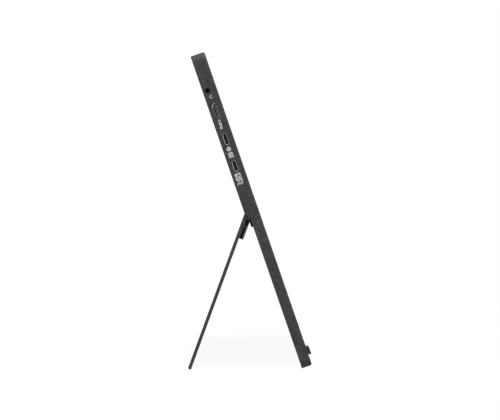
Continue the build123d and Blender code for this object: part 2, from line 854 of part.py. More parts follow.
for name, drop in keys:
    key_y = body_height - drop
    with BuildPart() as key:
        side_slot(display, (key_y, port_depth), key_length, key_width, (flange_x[1], side))
        block(display, flange_x, span(key_y, key_length + 2 * key_flange),
              span(port_depth, key_width + 2 * key_flange))
    save(key, name)

# ---------------------------------------------------------------- speakers
for name, end in sides:
    with BuildPart() as speaker:
        block(display, span(end * speaker_x, speaker_length), speaker_y,
              (lower_floor, lower_floor + speaker_depth))
        block(display, span(end * speaker_x, speaker_length - 2 * speaker_step),
              (speaker_y[0], speaker_y[1] - speaker_step),
              (lower_floor + speaker_depth, lower_floor + speaker_depth + speaker_plate))
    save(speaker, f"speaker_{name}")

with BuildPart() as speaker_meshes:
    for _, end in sides:
        block(display, span(end * speaker_x, speaker_hole_pitch * (speaker_hole_count + 1)),
              (inner_wall, speaker_y[0]), span(speaker_z, mesh_height))
save(speaker_meshes, "speaker_meshes")

# ---------------------------------------------------------------- hinges
base_half = base_knuckle_length / 2
moving_half = hinge_length / 2
cover_inside = cover_front - cover_wall
mouth_low = cover_y[0] + cover_lip
mouth_high = mouth_low + cover_mouth
leaf_low = hinge_height - moving_leaf_length

# Ribs inside each cover stand on the leaf and on the stand below it
cover_rib_side = [
    (mouth_low, stand_thickness),
    (leaf_low, stand_thickness),
    (leaf_low, 2 * hinge_depth),
    (mouth_high, 2 * hinge_depth),
    (mouth_high, cover_inside),
    (mouth_low, cover_inside),
]

for name, end in sides:
    centre = end * hinge_x
    with BuildPart() as hinge_base:
        rod(display, hinge_axis, hinge_depth, span(centre, base_knuckle_length))
        block(display, span(centre, base_knuckle_length),
              (hinge_height, hinge_height + base_leaf_length), (leaf_back, 2 * hinge_depth))
        block(display, span(centre, base_leaf_width),
              (upper_floor_low + pocket_clearance, hinge_height + base_leaf_length),
              (leaf_back, 2 * hinge_depth))
        rod(display, hinge_axis, pin_radius + pin_clearance, span(centre, base_leaf_width),
            Mode.SUBTRACT)
        places = [place for place in hinge_screw_places if place[0] * end > 0]
        discs(display, places, screw_radius + screw_clearance, (leaf_back, 2 * hinge_depth),
              Mode.SUBTRACT)
    save(hinge_base, f"hinge_base_{name}")

    with BuildPart() as hinge_leaf:
        for knuckle in (-1, 1):
            inner = centre + knuckle * (base_half + knuckle_gap)
            outer = centre + knuckle * moving_half
            rod(stand, hinge_axis, hinge_depth, (min(inner, outer), max(inner, outer)))
        block(stand, span(centre, hinge_length), (leaf_low, hinge_height),
              (stand_thickness, 2 * hinge_depth))
        block(stand, span(centre, base_knuckle_length + 2 * knuckle_gap),
              (hinge_height - hinge_depth - 2 * knuckle_gap, hinge_height + hinge_depth),
              (0, 2 * hinge_depth), Mode.SUBTRACT)
        rod(stand, hinge_axis, pin_radius, span(centre, hinge_length), Mode.SUBTRACT)
        places = [place for place in leaf_screw_places if place[0] * end > 0]
        discs(stand, places, screw_radius + screw_clearance, (stand_thickness, 2 * hinge_depth),
              Mode.SUBTRACT)
    save(hinge_leaf, f"hinge_leaf_{name}")

    with BuildPart() as hinge_pin:
        rod(stand, hinge_axis, pin_radius, span(centre, hinge_length))
    save(hinge_pin, f"hinge_pin_{name}")

    with BuildPart() as hinge_cover:
        block(stand, span(centre, cover_width), cover_y, (stand_thickness, cover_front))
        outer_face = hinge_cover.faces().sort_by(Axis(stand.origin, stand.z_dir))[-1]
        fillet(outer_face.edges(), radius=cover_radius)
        block(stand, span(centre, hinge_length + 2 * knuckle_gap),
              (leaf_low - knuckle_gap, hinge_height),
              (stand_thickness, cover_inside), Mode.SUBTRACT)
        block(stand, span(centre, cover_width), (mouth_low, mouth_high),
              (stand_thickness, cover_inside), Mode.SUBTRACT)
        for step in (-1, 1):
            prism(stand, cover_rib_side, span(centre + step * cover_rib_spread, cover_rib))
    save(hinge_cover, f"hinge_cover_{name}")

# ---------------------------------------------------------------- kickstand
stand_x = (-stand_half, stand_half)
hinge_notch = hinge_length + 2 * knuckle_gap
tip_middle = stand_thickness / 2

# Cheeks beside each hinge cover close the wedge between the stand and the case
gusset = [
    (cover_y[1], tip_middle),
    (cover_y[1], cover_front),
    (cover_y[1] + gusset_land, cover_front),
    (cover_y[1] + gusset_rise, 2 * hinge_depth),
    (cover_y[1] + gusset_rise, tip_middle),
]

with BuildPart() as kickstand_plate:
    plate_low = tip + tip_strip_proud
    block(stand, stand_x, (plate_low + tip_radius, hinge_height), (0, stand_thickness))
    rod(stand, (plate_low + tip_radius, tip_middle), tip_radius, stand_x)
    rod(stand, hinge_axis, hinge_depth, (-root_half, root_half))
    plate(stand, 2 * stand_half, (plate_low, hinge_height + stand_length), stand_corner_radius,
          (0, 2 * hinge_depth), Mode.INTERSECT)
    for _, end in sides:
        cheek_x = span(end * side, 2 * (cheek_width + stand_gap))
        cheek_y = (seam_height - cheek_length - stand_gap, hinge_height + stand_length)
        block(stand, cheek_x, cheek_y, (-1, 2 * hinge_depth), Mode.SUBTRACT)
        notch_y = (hinge_height - hinge_depth - knuckle_gap, hinge_height + hinge_depth)
        block(stand, span(end * hinge_x, hinge_notch), notch_y, (-1, 2 * hinge_depth), Mode.SUBTRACT)
        dimple_x = span(end * pad_x, pad_length + 2 * pad_clearance)
        dimple_y = (pad_y[0] - pad_clearance, pad_y[1] + pad_clearance)
        dimple_z = (recess_depth - pad_proud - pad_clearance, stand_thickness)
        block(stand, dimple_x, dimple_y, dimple_z, Mode.SUBTRACT)
        for step in (-1, 1):
            prism(stand, gusset, span(end * hinge_x + step * gusset_middle, gusset_width))
    strip_x = (tip_strip_inset - stand_half, stand_half - tip_strip_inset)
    block(stand, strip_x, (tip - 1, tip_seat), (-1, stand_thickness + 1), Mode.SUBTRACT)
    block(stand, strip_x, (tip_seat, tip_seat + tongue_length), span(tip_middle, tongue_thickness),
          Mode.SUBTRACT)
    discs(stand, magnet_centres, magnet_radius + thread_clearance,
          (stand_thickness - magnet_thickness, stand_thickness), Mode.SUBTRACT)
    discs(stand, leaf_screw_places, screw_radius + thread_clearance,
          (stand_thickness - screw_bite, stand_thickness), Mode.SUBTRACT)
save(kickstand_plate, "kickstand_plate")

with BuildPart() as stand_foot_strip:
    block(stand, strip_x, (tip + tip_radius, tip_seat), (0, stand_thickness))
    rod(stand, (tip + tip_radius, tip_middle), tip_radius, strip_x)
    block(stand, strip_x, (tip_seat, tip_seat + tongue_length), span(tip_middle, tongue_thickness))
save(stand_foot_strip, "stand_foot_strip")

with BuildPart() as stand_magnets:
    discs(stand, magnet_centres, magnet_radius, (stand_thickness - magnet_thickness, stand_thickness))
save(stand_magnets, "stand_magnets")

with BuildPart() as case_magnets:
    discs(display, magnet_centres, magnet_radius, (lower_floor, lower_floor + magnet_thickness))
save(case_magnets, "case_magnets")

# ---------------------------------------------------------------- feet, bumpers and pads
for name, end in sides:
    with BuildPart() as bottom_foot:
        foot_x = span(end * (side - foot_inset), foot_length)
        foot_z = (recess_depth, recess_depth + foot_width)
        block(display, foot_x, (-foot_drop, foot_depth), foot_z)
        low_edges = bottom_foot.edges().filter_by(Axis.X).sort_by(Axis(display.origin, display.y_dir))[:2]
        fillet(low_edges, radius=foot_round * 0.999)
    save(bottom_foot, f"bottom_foot_{name}")

    with BuildPart() as front_bumper:
        bumper_top = body_thickness + bumper_proud
        bumper_high = bumper_low + bumper_height
        profile = [
            (bumper_low + bumper_undercut, body_thickness),
            (bumper_low, body_thickness + bumper_proud / 2),
            (bumper_low, bumper_top),
            (bumper_high, bumper_top),
            (bumper_high, body_thickness),
        ]
        prism(display, profile, span(end * bumper_x, bumper_length))
        outer_face = front_bumper.faces().sort_by(thickness_axis)[-1]
        upper_edges = outer_face.edges().sort_by(Axis(display.origin, display.y_dir))[1:]
        fillet(upper_edges, radius=bumper_round)
        places = [place for place in plug_places if place[0] * end > 0]
        discs(display, places, plug_radius, (bezel_back, body_thickness))
        discs(display, places, plug_head_radius, (bezel_back - plug_head_thickness, bezel_back))
    save(front_bumper, f"front_bumper_{name}")

    with BuildPart() as stand_pad:
        pad_z = (recess_depth - pad_proud, recess_depth + pad_sunk)
        block(display, span(end * pad_x, pad_length), pad_y, pad_z)
    save(stand_pad, f"stand_pad_{name}")

# ---------------------------------------------------------------- screws
with BuildPart() as hinge_base_screws:
    screws(display, hinge_screw_places, 2 * hinge_depth, base_leaf_thickness + screw_bite)
save(hinge_base_screws, "hinge_base_screws")

with BuildPart() as hinge_leaf_screws:
    screws(stand, leaf_screw_places, 2 * hinge_depth, 2 * hinge_depth - stand_thickness + screw_bite)
save(hinge_leaf_screws, "hinge_leaf_screws")

with BuildPart() as board_screws:
    screws(display, board_screw_places + key_screw_places, board_front, board_thickness + screw_bite)
    screws(display, source_screw_places, source_board_front, board_thickness + screw_bite)
save(board_screws, "board_screws")

print(f"display leans {lean * 57.29578:.2f} degrees, stand {stand_lean * 57.29578:.2f} degrees")
print(f"hinge axis at y {hinge_y:.4f}, z {hinge_z:.4f}")
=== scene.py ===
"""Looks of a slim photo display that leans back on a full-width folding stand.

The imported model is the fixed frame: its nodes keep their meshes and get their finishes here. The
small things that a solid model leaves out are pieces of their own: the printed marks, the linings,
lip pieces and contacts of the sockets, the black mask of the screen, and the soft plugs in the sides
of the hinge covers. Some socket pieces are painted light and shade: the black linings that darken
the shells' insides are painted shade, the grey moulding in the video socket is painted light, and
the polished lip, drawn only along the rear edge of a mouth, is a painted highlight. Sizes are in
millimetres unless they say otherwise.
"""

import json
import logging
import math
from collections.abc import Iterable
from dataclasses import dataclass
from enum import Enum
from itertools import pairwise
from typing import Any

import bmesh
import bpy
from mathutils import Matrix, Vector


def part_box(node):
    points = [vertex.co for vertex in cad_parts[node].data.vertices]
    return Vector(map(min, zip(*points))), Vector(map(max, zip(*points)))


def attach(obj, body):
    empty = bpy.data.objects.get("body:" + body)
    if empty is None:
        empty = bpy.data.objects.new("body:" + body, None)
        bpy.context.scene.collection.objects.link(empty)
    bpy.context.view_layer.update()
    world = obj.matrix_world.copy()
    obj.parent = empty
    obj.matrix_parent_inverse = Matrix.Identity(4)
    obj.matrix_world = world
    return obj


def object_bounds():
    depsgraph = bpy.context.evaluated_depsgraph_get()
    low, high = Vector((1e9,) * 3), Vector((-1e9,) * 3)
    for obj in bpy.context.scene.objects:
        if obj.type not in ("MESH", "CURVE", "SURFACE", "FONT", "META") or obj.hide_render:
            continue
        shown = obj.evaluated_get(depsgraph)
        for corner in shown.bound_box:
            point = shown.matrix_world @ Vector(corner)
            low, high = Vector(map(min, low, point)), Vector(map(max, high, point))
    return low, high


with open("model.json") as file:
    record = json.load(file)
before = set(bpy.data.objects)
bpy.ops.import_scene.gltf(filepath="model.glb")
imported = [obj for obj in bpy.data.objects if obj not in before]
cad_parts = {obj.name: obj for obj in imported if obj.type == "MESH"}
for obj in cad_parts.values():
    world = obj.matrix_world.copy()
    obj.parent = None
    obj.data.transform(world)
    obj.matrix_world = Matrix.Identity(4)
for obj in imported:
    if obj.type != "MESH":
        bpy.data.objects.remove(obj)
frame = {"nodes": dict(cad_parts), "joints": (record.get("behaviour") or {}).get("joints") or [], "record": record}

LOG = logging.getLogger("photo_display")
CAD_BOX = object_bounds()
MM = 0.001
WELD_MM = 1e-4

Mesh = bmesh.types.BMesh
Feed = bpy.types.Node | bpy.types.NodeSocket


class Body(Enum):
    """The moving bodies of the model."""

    DISPLAY = "display"
    STAND = "kickstand"
    POWER = "power_button"
    PLUS = "plus_key"
    MINUS = "minus_key"


class Side(Enum):
    """The two side faces of the display, by the sign of the way they face."""

    SOCKETS = -1
    KEYS = 1


class Socket(Enum):
    """The sockets in one side, by their mounts and nodes."""

    JACK = "headphone_jack"
    VIDEO = "video_socket"
    UPPER = "oval_socket_upper"
    LOWER = "oval_socket_lower"


# --- finishes
def linear(code: str) -> tuple[float, float, float, float]:
    """Turns an sRGB hex colour into the linear values that a shader takes.

    Args:
        code: Six hex digits after a hash.

    Returns:
        Red, green and blue from 0 to 1, and an alpha of 1.
    """
    parts = [int(code[i : i + 2], 16) / 255 for i in (1, 3, 5)]
    red, green, blue = [p / 12.92 if p <= 0.04045 else ((p + 0.055) / 1.055) ** 2.4 for p in parts]
    return red, green, blue, 1.0


def per_metre(size_mm: float) -> float:
    """Gives the texture scale at which one feature of a pattern is that many millimetres."""
    return 1 / (size_mm * MM)


def bare_tree(owner: bpy.types.Material | bpy.types.World) -> bpy.types.NodeTree:
    """Gives a new material or world nodes, with none in them yet.

    Args:
        owner: The material or world.

    Returns:
        Its empty nodes.
    """
    owner.use_nodes = True
    owner.node_tree.nodes.clear()
    return owner.node_tree


def add_node(
    tree: bpy.types.NodeTree,
    kind: str,
    inputs: dict[str | int, Any] | None = None,
    **settings: Any,
) -> bpy.types.Node:
    """Adds one node, with its settings and what comes into it.

    Args:
        tree: The material's or world's nodes.
        kind: What type of node it is.
        inputs: For each input, by name or place, a value, the output socket that feeds it, or
            the node whose first output does.
        **settings: Values of the node itself.

    Returns:
        The node.
    """
    node = tree.nodes.new(kind)
    for name, value in settings.items():
        setattr(node, name, value)
    for key, value in (inputs or {}).items():
        if isinstance(value, bpy.types.Node):
            value = value.outputs[0]
        if isinstance(value, bpy.types.NodeSocket):
            tree.links.new(value, node.inputs[key])
        else:
            node.inputs[key].default_value = value
    return node


@dataclass(frozen=True)
class Skin:
    """A material while its pattern is drawn.

    Attributes:
        tree: Its nodes.
        place: Object coordinates.
        shader: The surface shader that the pattern feeds.
    """

    tree: bpy.types.NodeTree
    place: bpy.types.NodeSocket
    shader: bpy.types.Node


@dataclass(frozen=True)
class Finish:
    """One kind of surface, from what it is made of and how it was made.

    Attributes:
        name: What the finish is, in plain words.
        colour: The main colour, sRGB hex.
        shade: The colour that the pattern turns to.
        roughness: How matt it is.
        spread: How much the roughness changes over the surface.
        grain_mm: The size of its finest visible feature.
        depth_mm: How deep that feature is.
        metallic: 1 for bare metal, 0 for everything else.
        ior: Index of refraction, which a metal leaves as it is.
        gloss: How strongly it mirrors, 0.5 being what the index alone gives.
        edge: What its reflections turn to at a glancing look, sRGB hex.
    """

    name: str
    colour: str
    shade: str
    roughness: float
    spread: float = 0.06
    grain_mm: float = 0.5
    depth_mm: float = 0.01
    metallic: float = 0.0
    ior: float = 1.5
    gloss: float = 0.5
    edge: str = "#ffffff"

    def material(self) -> bpy.types.Material:
        """Makes the material, unless it was made before.

        Returns:
            The material of this finish.
        """
        made = bpy.data.materials.get(self.name)
        if made is not None:
            return made
        made = bpy.data.materials.new(self.name)
        tree = bare_tree(made)
        place = add_node(tree, "ShaderNodeTexCoord").outputs["Object"]
        shader = add_node(
            tree,
            "ShaderNodeBsdfPrincipled",
            {
                "Base Color": linear(self.colour),
                "Roughness": self.roughness,
                "Metallic": self.metallic,
                "IOR": self.ior,
                "Specular IOR Level": self.gloss,
                "Specular Tint": linear(self.edge),
            },
        )
        add_node(tree, "ShaderNodeOutputMaterial", {"Surface": shader})
        self.draw(Skin(tree, place, shader))
        return made

    def draw(self, skin: Skin) -> None:
        """Draws the pattern of a plain fine grain; other finishes draw their own.

        Args:
            skin: The material that is drawn.
        """
        grain = add_node(
            skin.tree,
            "ShaderNodeTexNoise",
            {"Vector": skin.place, "Scale": per_metre(self.grain_mm), "Detail": 3.0},
        )
        self.follow(skin, grain, grain, grain)

    def paint(self, skin: Skin, pattern: Feed, low: Any, high: Any) -> bpy.types.NodeSocket:
        """Colours the surface by a pattern.

        Args:
            skin: The material that is drawn.
            pattern: What decides, from 0 to 1.
            low: The colour at 0, as linear values or as the output that gives it.
            high: The colour at 1, given likewise.

        Returns:
            The output that holds the mixed colour.
        """
        tree = skin.tree
        mixed = add_node(
            tree, "ShaderNodeMix", {0: pattern, 6: low, 7: high}, data_type="RGBA"
        ).outputs[2]
        tree.links.new(mixed, skin.shader.inputs["Base Color"])
        return mixed

    def follow(
        self, skin: Skin, tint: Feed, matt: Feed | None = None, relief: Feed | None = None
    ) -> bpy.types.NodeSocket:
        """Lets the surface follow patterns, by the finish's own colours, spread and depth.

        Args:
            skin: The material that is drawn.
            tint: The pattern that turns the colour towards the shade.
            matt: The pattern that the roughness follows, if it changes.
            relief: The pattern that stands up from the surface, if any does.

        Returns:
            The output that holds the colour.
        """
        if matt is not None:
            limits = {
                "From Min": 0.25,
                "From Max": 0.75,
                "To Min": max(self.roughness - self.spread, 0.02),
                "To Max": min(self.roughness + self.spread, 1.0),
            }
            rough = add_node(skin.tree, "ShaderNodeMapRange", {"Value": matt, **limits})
            skin.tree.links.new(rough.outputs["Result"], skin.shader.inputs["Roughness"])
        if relief is not None:
            raised = {"Height": relief, "Distance": self.depth_mm * MM, "Strength": 1.0}
            bump = add_node(skin.tree, "ShaderNodeBump", raised)
            skin.tree.links.new(bump.outputs["Normal"], skin.shader.inputs["Normal"])
        return self.paint(skin, tint, linear(self.colour), linear(self.shade))


@dataclass(frozen=True)
class BlastedAnodised(Finish):
    """Aluminium blasted with fine beads, then dyed and anodised.

    Attributes:
        cloud_mm: The size of the faint clouds from handling.
        touch_mm: The size of the patches where it is a little glossier.
        cloud_share: How much of the pattern the clouds are; the grain is the rest.
    """

    grain_mm: float = 1.5
    depth_mm: float = 0.006
    metallic: float = 1.0
    edge: str = "#2a2a2a"
    cloud_mm: float = 26.0
    touch_mm: float = 7.0
    cloud_share: float = 0.18

    def draw(self, skin: Skin) -> None:
        """Draws a fine even sparkle over broad, faint clouds from handling.

        Bead blasting leaves pits of about 0.1 mm, too fine to show, so the grain is drawn at
        1.5 mm: the eye gets a dry, finely mottled dark grey that never shows a sharp highlight.

        Args:
            skin: The material that is drawn.
        """
        tree, place = skin.tree, skin.place
        grain, cloud, touch = [
            add_node(
                tree,
                "ShaderNodeTexNoise",
                {"Vector": place, "Scale": per_metre(size), "Detail": detail, "Roughness": rough},
            )
            for size, detail, rough in (
                (self.grain_mm, 2.0, 0.5),
                (self.cloud_mm, 4.0, 0.6),
                (self.touch_mm, 5.0, 0.5),
            )
        ]
        clouds = {0: cloud, 1: self.cloud_share}
        share = add_node(tree, "ShaderNodeMath", clouds, operation="MULTIPLY")
        grains = {0: grain, 1: 1 - self.cloud_share, 2: share}
        both = add_node(tree, "ShaderNodeMath", grains, operation="MULTIPLY_ADD")
        limits = {"Value": both, "From Min": 0.35, "From Max": 0.65}
        self.follow(skin, add_node(tree, "ShaderNodeMapRange", limits), touch, grain)


@dataclass(frozen=True)
class SparkTextured(Finish):
    """Plastic moulded against a spark-eroded tool, such as ABS with polycarbonate.

    Attributes:
        haze: How many times as large as a pebble a glossier patch is.
    """

    haze: float = 14.0

    def draw(self, skin: Skin) -> None:
        """Draws the pebbled skin that the tool leaves, which breaks highlights up.

        Args:
            skin: The material that is drawn.
        """
        pebbles = add_node(
            skin.tree,
            "ShaderNodeTexVoronoi",
            {"Vector": skin.place, "Scale": per_metre(self.grain_mm), "Smoothness": 0.6},
            feature="SMOOTH_F1",
        )
        patches = add_node(
            skin.tree,
            "ShaderNodeTexNoise",
            {"Vector": skin.place, "Scale": per_metre(self.grain_mm * self.haze), "Detail": 4.0},
        )
        self.follow(skin, pebbles, patches, pebbles)


@dataclass(frozen=True)
class MouldedRubber(Finish):
    """Silicone or soft elastomer from a matt tool.

    Attributes:
        dust: The colour of the dust on it.
        dust_share: How much of it covers the rubber where it is thickest.
        speck: How many times as large as a pit a patch of dust is.
    """

    roughness: float = 0.78
    grain_mm: float = 0.6
    depth_mm: float = 0.03
    gloss: float = 0.15
    dust: str = "#5c5a56"
    dust_share: float = 0.35
    speck: float = 3.0

    def draw(self, skin: Skin) -> None:
        """Draws a dry, sooty skin with the pale dust that soft rubber holds in its pits.

        Args:
            skin: The material that is drawn.
        """
        pits, specks = [
            add_node(
                skin.tree,
                "ShaderNodeTexNoise",
                {"Vector": skin.place, "Scale": per_metre(size), "Detail": detail},
            )
            for size, detail in ((self.grain_mm, 4.0), (self.grain_mm * self.speck, 6.0))
        ]
        clean = self.follow(skin, pits, pits, pits)
        limits = {"From Min": 0.62, "From Max": 0.78, "To Max": self.dust_share}
        held = add_node(skin.tree, "ShaderNodeMapRange", {"Value": specks, **limits})
        self.paint(skin, held, clean, linear(self.dust))


@dataclass(frozen=True)
class TwoShotRubber(MouldedRubber):
    """A hard grey root moulded first, and a soft black face moulded over it.

    Attributes:
        root: The colour of the root.
        face_mm: How thick the face is.
    """

    root: str = "#3a3a3a"
    face_mm: float = 1.15

    def draw(self, skin: Skin) -> None:
        """Draws the black face with a sharp line where it meets its grey root.

        Args:
            skin: The material that is drawn.
        """
        super().draw(skin)
        black = skin.shader.inputs["Base Color"].links[0].from_socket
        panel = display_datum()
        top = local_box(panel, "front_bumper_left")[1].z
        line = panel.matrix() @ Vector((0.0, 0.0, top - self.face_mm))
        tree, places = skin.tree, {0: skin.place, 1: line}
        from_line = add_node(tree, "ShaderNodeVectorMath", places, operation="SUBTRACT")
        facing = {0: from_line, 1: panel.out}
        out = add_node(tree, "ShaderNodeVectorMath", facing, operation="DOT_PRODUCT")
        height = {0: out.outputs["Value"], 1: 0.0}
        outside = add_node(tree, "ShaderNodeMath", height, operation="GREATER_THAN")
        self.paint(skin, outside, linear(self.root), black)


@dataclass(frozen=True)
class RolledMetal(Finish):
    """Sheet or strip that was rolled, stamped and plated.

    Attributes:
        stretch: How many times as long as wide a rolling line is.
    """

    metallic: float = 1.0
    stretch: float = 18.0

    def draw(self, skin: Skin) -> None:
        """Draws the fine lines that rolling leaves along the sheet, under a thin plating.

        Args:
            skin: The material that is drawn.
        """
        drawn_out = {"Vector": skin.place, "Scale": (1 / self.stretch, 1.0, 1.0)}
        along = add_node(skin.tree, "ShaderNodeMapping", drawn_out, vector_type="POINT")
        lines = add_node(
            skin.tree,
            "ShaderNodeTexNoise",
            {"Vector": along, "Scale": per_metre(self.grain_mm), "Detail": 4.0},
        )
        self.follow(skin, lines, lines, lines)


@dataclass(frozen=True)
class EtchedGlass(Finish):
    """Glass or hard-coated film etched against glare.

    Attributes:
        coat: How much its hard coat mirrors.
        coat_matt: How matt that coat is.
        wipe_mm: The width of a wiping mark.
    """

    ior: float = 1.45
    coat: float = 0.3
    coat_matt: float = 0.22
    wipe_mm: float = 22.0

    def draw(self, skin: Skin) -> None:
        """Draws the etch, which softens reflections, and faint wiping marks.

        The dots of the picture are 0.2 mm apart, too fine to show, so an unlit panel is one
        dark tone with a slight cold cast.

        Args:
            skin: The material that is drawn.
        """
        etch = add_node(
            skin.tree,
            "ShaderNodeTexNoise",
            {"Vector": skin.place, "Scale": per_metre(self.grain_mm), "Detail": 2.0},
        )
        strokes = {"Vector": skin.place, "Rotation": (0.0, 0.5, 0.0), "Scale": (0.2, 1.0, 1.0)}
        wiped = add_node(skin.tree, "ShaderNodeMapping", strokes, vector_type="POINT")
        wiping = add_node(
            skin.tree,
            "ShaderNodeTexNoise",
            {"Vector": wiped, "Scale": per_metre(self.wipe_mm), "Detail": 5.0},
        )
        self.follow(skin, wiping, wiping, etch)
        skin.shader.inputs["Coat Weight"].default_value = self.coat
        skin.shader.inputs["Coat Roughness"].default_value = self.coat_matt


@dataclass(frozen=True)
class ClearResin(Finish):
    """Clear acrylic or polycarbonate, polished or lightly frosted.

    Attributes:
        clear: How much of the light goes through it.
    """

    clear: float = 0.85

    def draw(self, skin: Skin) -> None:
        """Lets light through, with the faint unevenness of a frosted mould.

        Args:
            skin: The material that is drawn.
        """
        super().draw(skin)
        skin.shader.inputs["Transmission Weight"].default_value = self.clear


@dataclass(frozen=True)
class CellFoam(Finish):
    """Foam cut from a block, whose open cells show at the cut."""

    def draw(self, skin: Skin) -> None:
        """Draws the cut cells, dark in their hollows.

        Args:
            skin: The material that is drawn.
        """
        cells = add_node(
            skin.tree,
            "ShaderNodeTexVoronoi",
            {"Vector": skin.place, "Scale": per_metre(self.grain_mm)},
            feature="DISTANCE_TO_EDGE",
        )
        wall = add_node(skin.tree, "ShaderNodeMapRange", {"Value": cells, "From Max": 0.25})
        self.follow(skin, wall, relief=wall)


@dataclass(frozen=True)
class SolderMask(Finish):
    """A glass-fibre board with copper tracks under solder mask.

    Attributes:
        track_mm: How far apart the tracks are.
        field: How many tracks run side by side before they turn.
        fold: How far the pattern runs before it turns back, which makes the lanes.
    """

    track_mm: float = 1.1
    field: float = 5.0
    fold: float = 0.12

    def draw(self, skin: Skin) -> None:
        """Draws tracks as slightly raised, lighter lanes under the lacquer.

        Args:
            skin: The material that is drawn.
        """
        tree = skin.tree
        lanes = add_node(
            tree,
            "ShaderNodeTexVoronoi",
            {
                "Vector": skin.place,
                "Scale": per_metre(self.track_mm * self.field),
                "Randomness": 0.7,
            },
            feature="F1",
            distance="MANHATTAN",
        )
        stepped = add_node(tree, "ShaderNodeMath", {0: lanes, 1: self.fold}, operation="PINGPONG")
        limits = {"Value": stepped, "From Min": 0.05, "From Max": 0.07}
        track = add_node(tree, "ShaderNodeMapRange", limits, interpolation_type="SMOOTHSTEP")
        self.follow(skin, track, relief=track)


@dataclass(frozen=True)
class WovenMesh(Finish):
    """A fine cloth of round threads, bonded behind the sound holes.

    Attributes:
        waves: How many threads the wave pattern draws in one unit of its scale.
    """

    waves: float = 3.2

    def draw(self, skin: Skin) -> None:
        """Draws crossing threads; their real spacing of 0.15 mm is drawn at the grain size.

        Args:
            skin: The material that is drawn.
        """
        threads = [
            add_node(
                skin.tree,
                "ShaderNodeTexWave",
                {"Vector": skin.place, "Scale": per_metre(self.grain_mm) / self.waves},
                wave_type="BANDS",
                bands_direction=direction,
                wave_profile="SIN",
            ).outputs["Fac"]
            for direction in ("X", "Z")
        ]
        crossing = dict(enumerate(threads))
        crossed = add_node(skin.tree, "ShaderNodeMath", crossing, operation="MAXIMUM")
        self.follow(skin, crossed, relief=crossed)


# Each finish gives its name, colour and shade, its roughness and how much that changes, then the
# size and the depth of its grain in millimetres.

# ABS and other plastics: near black and satin, with highlights broken up by the pebbled skin.
NOSE = SparkTextured("moulded_socket_nose", "#262626", "#303030", 0.5, 0.06, 0.3, gloss=0.25)
# Black socket plastic, which also lines the shells' insides as painted shade.
SOCKET_INNER_AND_SHADE = SparkTextured(
    "glass_filled_socket_core", "#101010", "#1c1c1c", 0.6, 0.05, 0.3, gloss=0.2
)
# A lighter grey copy of the socket plastic for the video socket's moulding: painted light.
LIT_GREY_CORE = SparkTextured(
    "grey_socket_core_painted_light", "#333333", "#414141", 0.55, 0.05, 0.3, gloss=0.3
)
# Silicone and elastomer: dead matt and black, a little dusty.
BUMPER_RUBBER = TwoShotRubber("two_shot_bumper_rubber", "#0c0c0c", "#141414")
PAD_RUBBER = MouldedRubber(
    "moulded_elastomer_pads", "#101010", "#1a1a1a", 0.82, 0.05, 0.5, gloss=0.12
)
# Print under glass: the deepest black of the whole front, with a soft sheen.
MASK = EtchedGlass(
    "black_masked_glass", "#040405", "#060607", 0.26, 0.03, depth_mm=0.001, gloss=0.15
)
# Tin dulls to a cloudy grey and gilt is a muted brass. The polished lip is bright metal drawn only along the rear
# edge of a mouth, where the light falls: a painted highlight.
DULL_SHELL = RolledMetal("tin_plated_shell", "#767779", "#88898b", 0.4, 0.06, 0.25, 0.003)
GOLD = RolledMetal("flash_gilt_contacts", "#8f7440", "#a08650", 0.32, 0.05, 0.3, 0.002)
# Bright polished metal for the lip pieces: a painted highlight.
LIP_HIGHLIGHT = RolledMetal("polished_lip_painted_highlight", "#cfd0d1", "#dedfe0", 0.2, 0.05, 0.3, 0.002)
# Pad-printed ink: thin, chalky and slightly uneven.
INK = Finish("pale_pad_printed_ink", "#9b9c9d", "#acadae", 0.55, depth_mm=0.004)
DARK_INK = Finish("grey_pad_printed_ink", "#8a8c8e", "#97999b", 0.55, depth_mm=0.004)

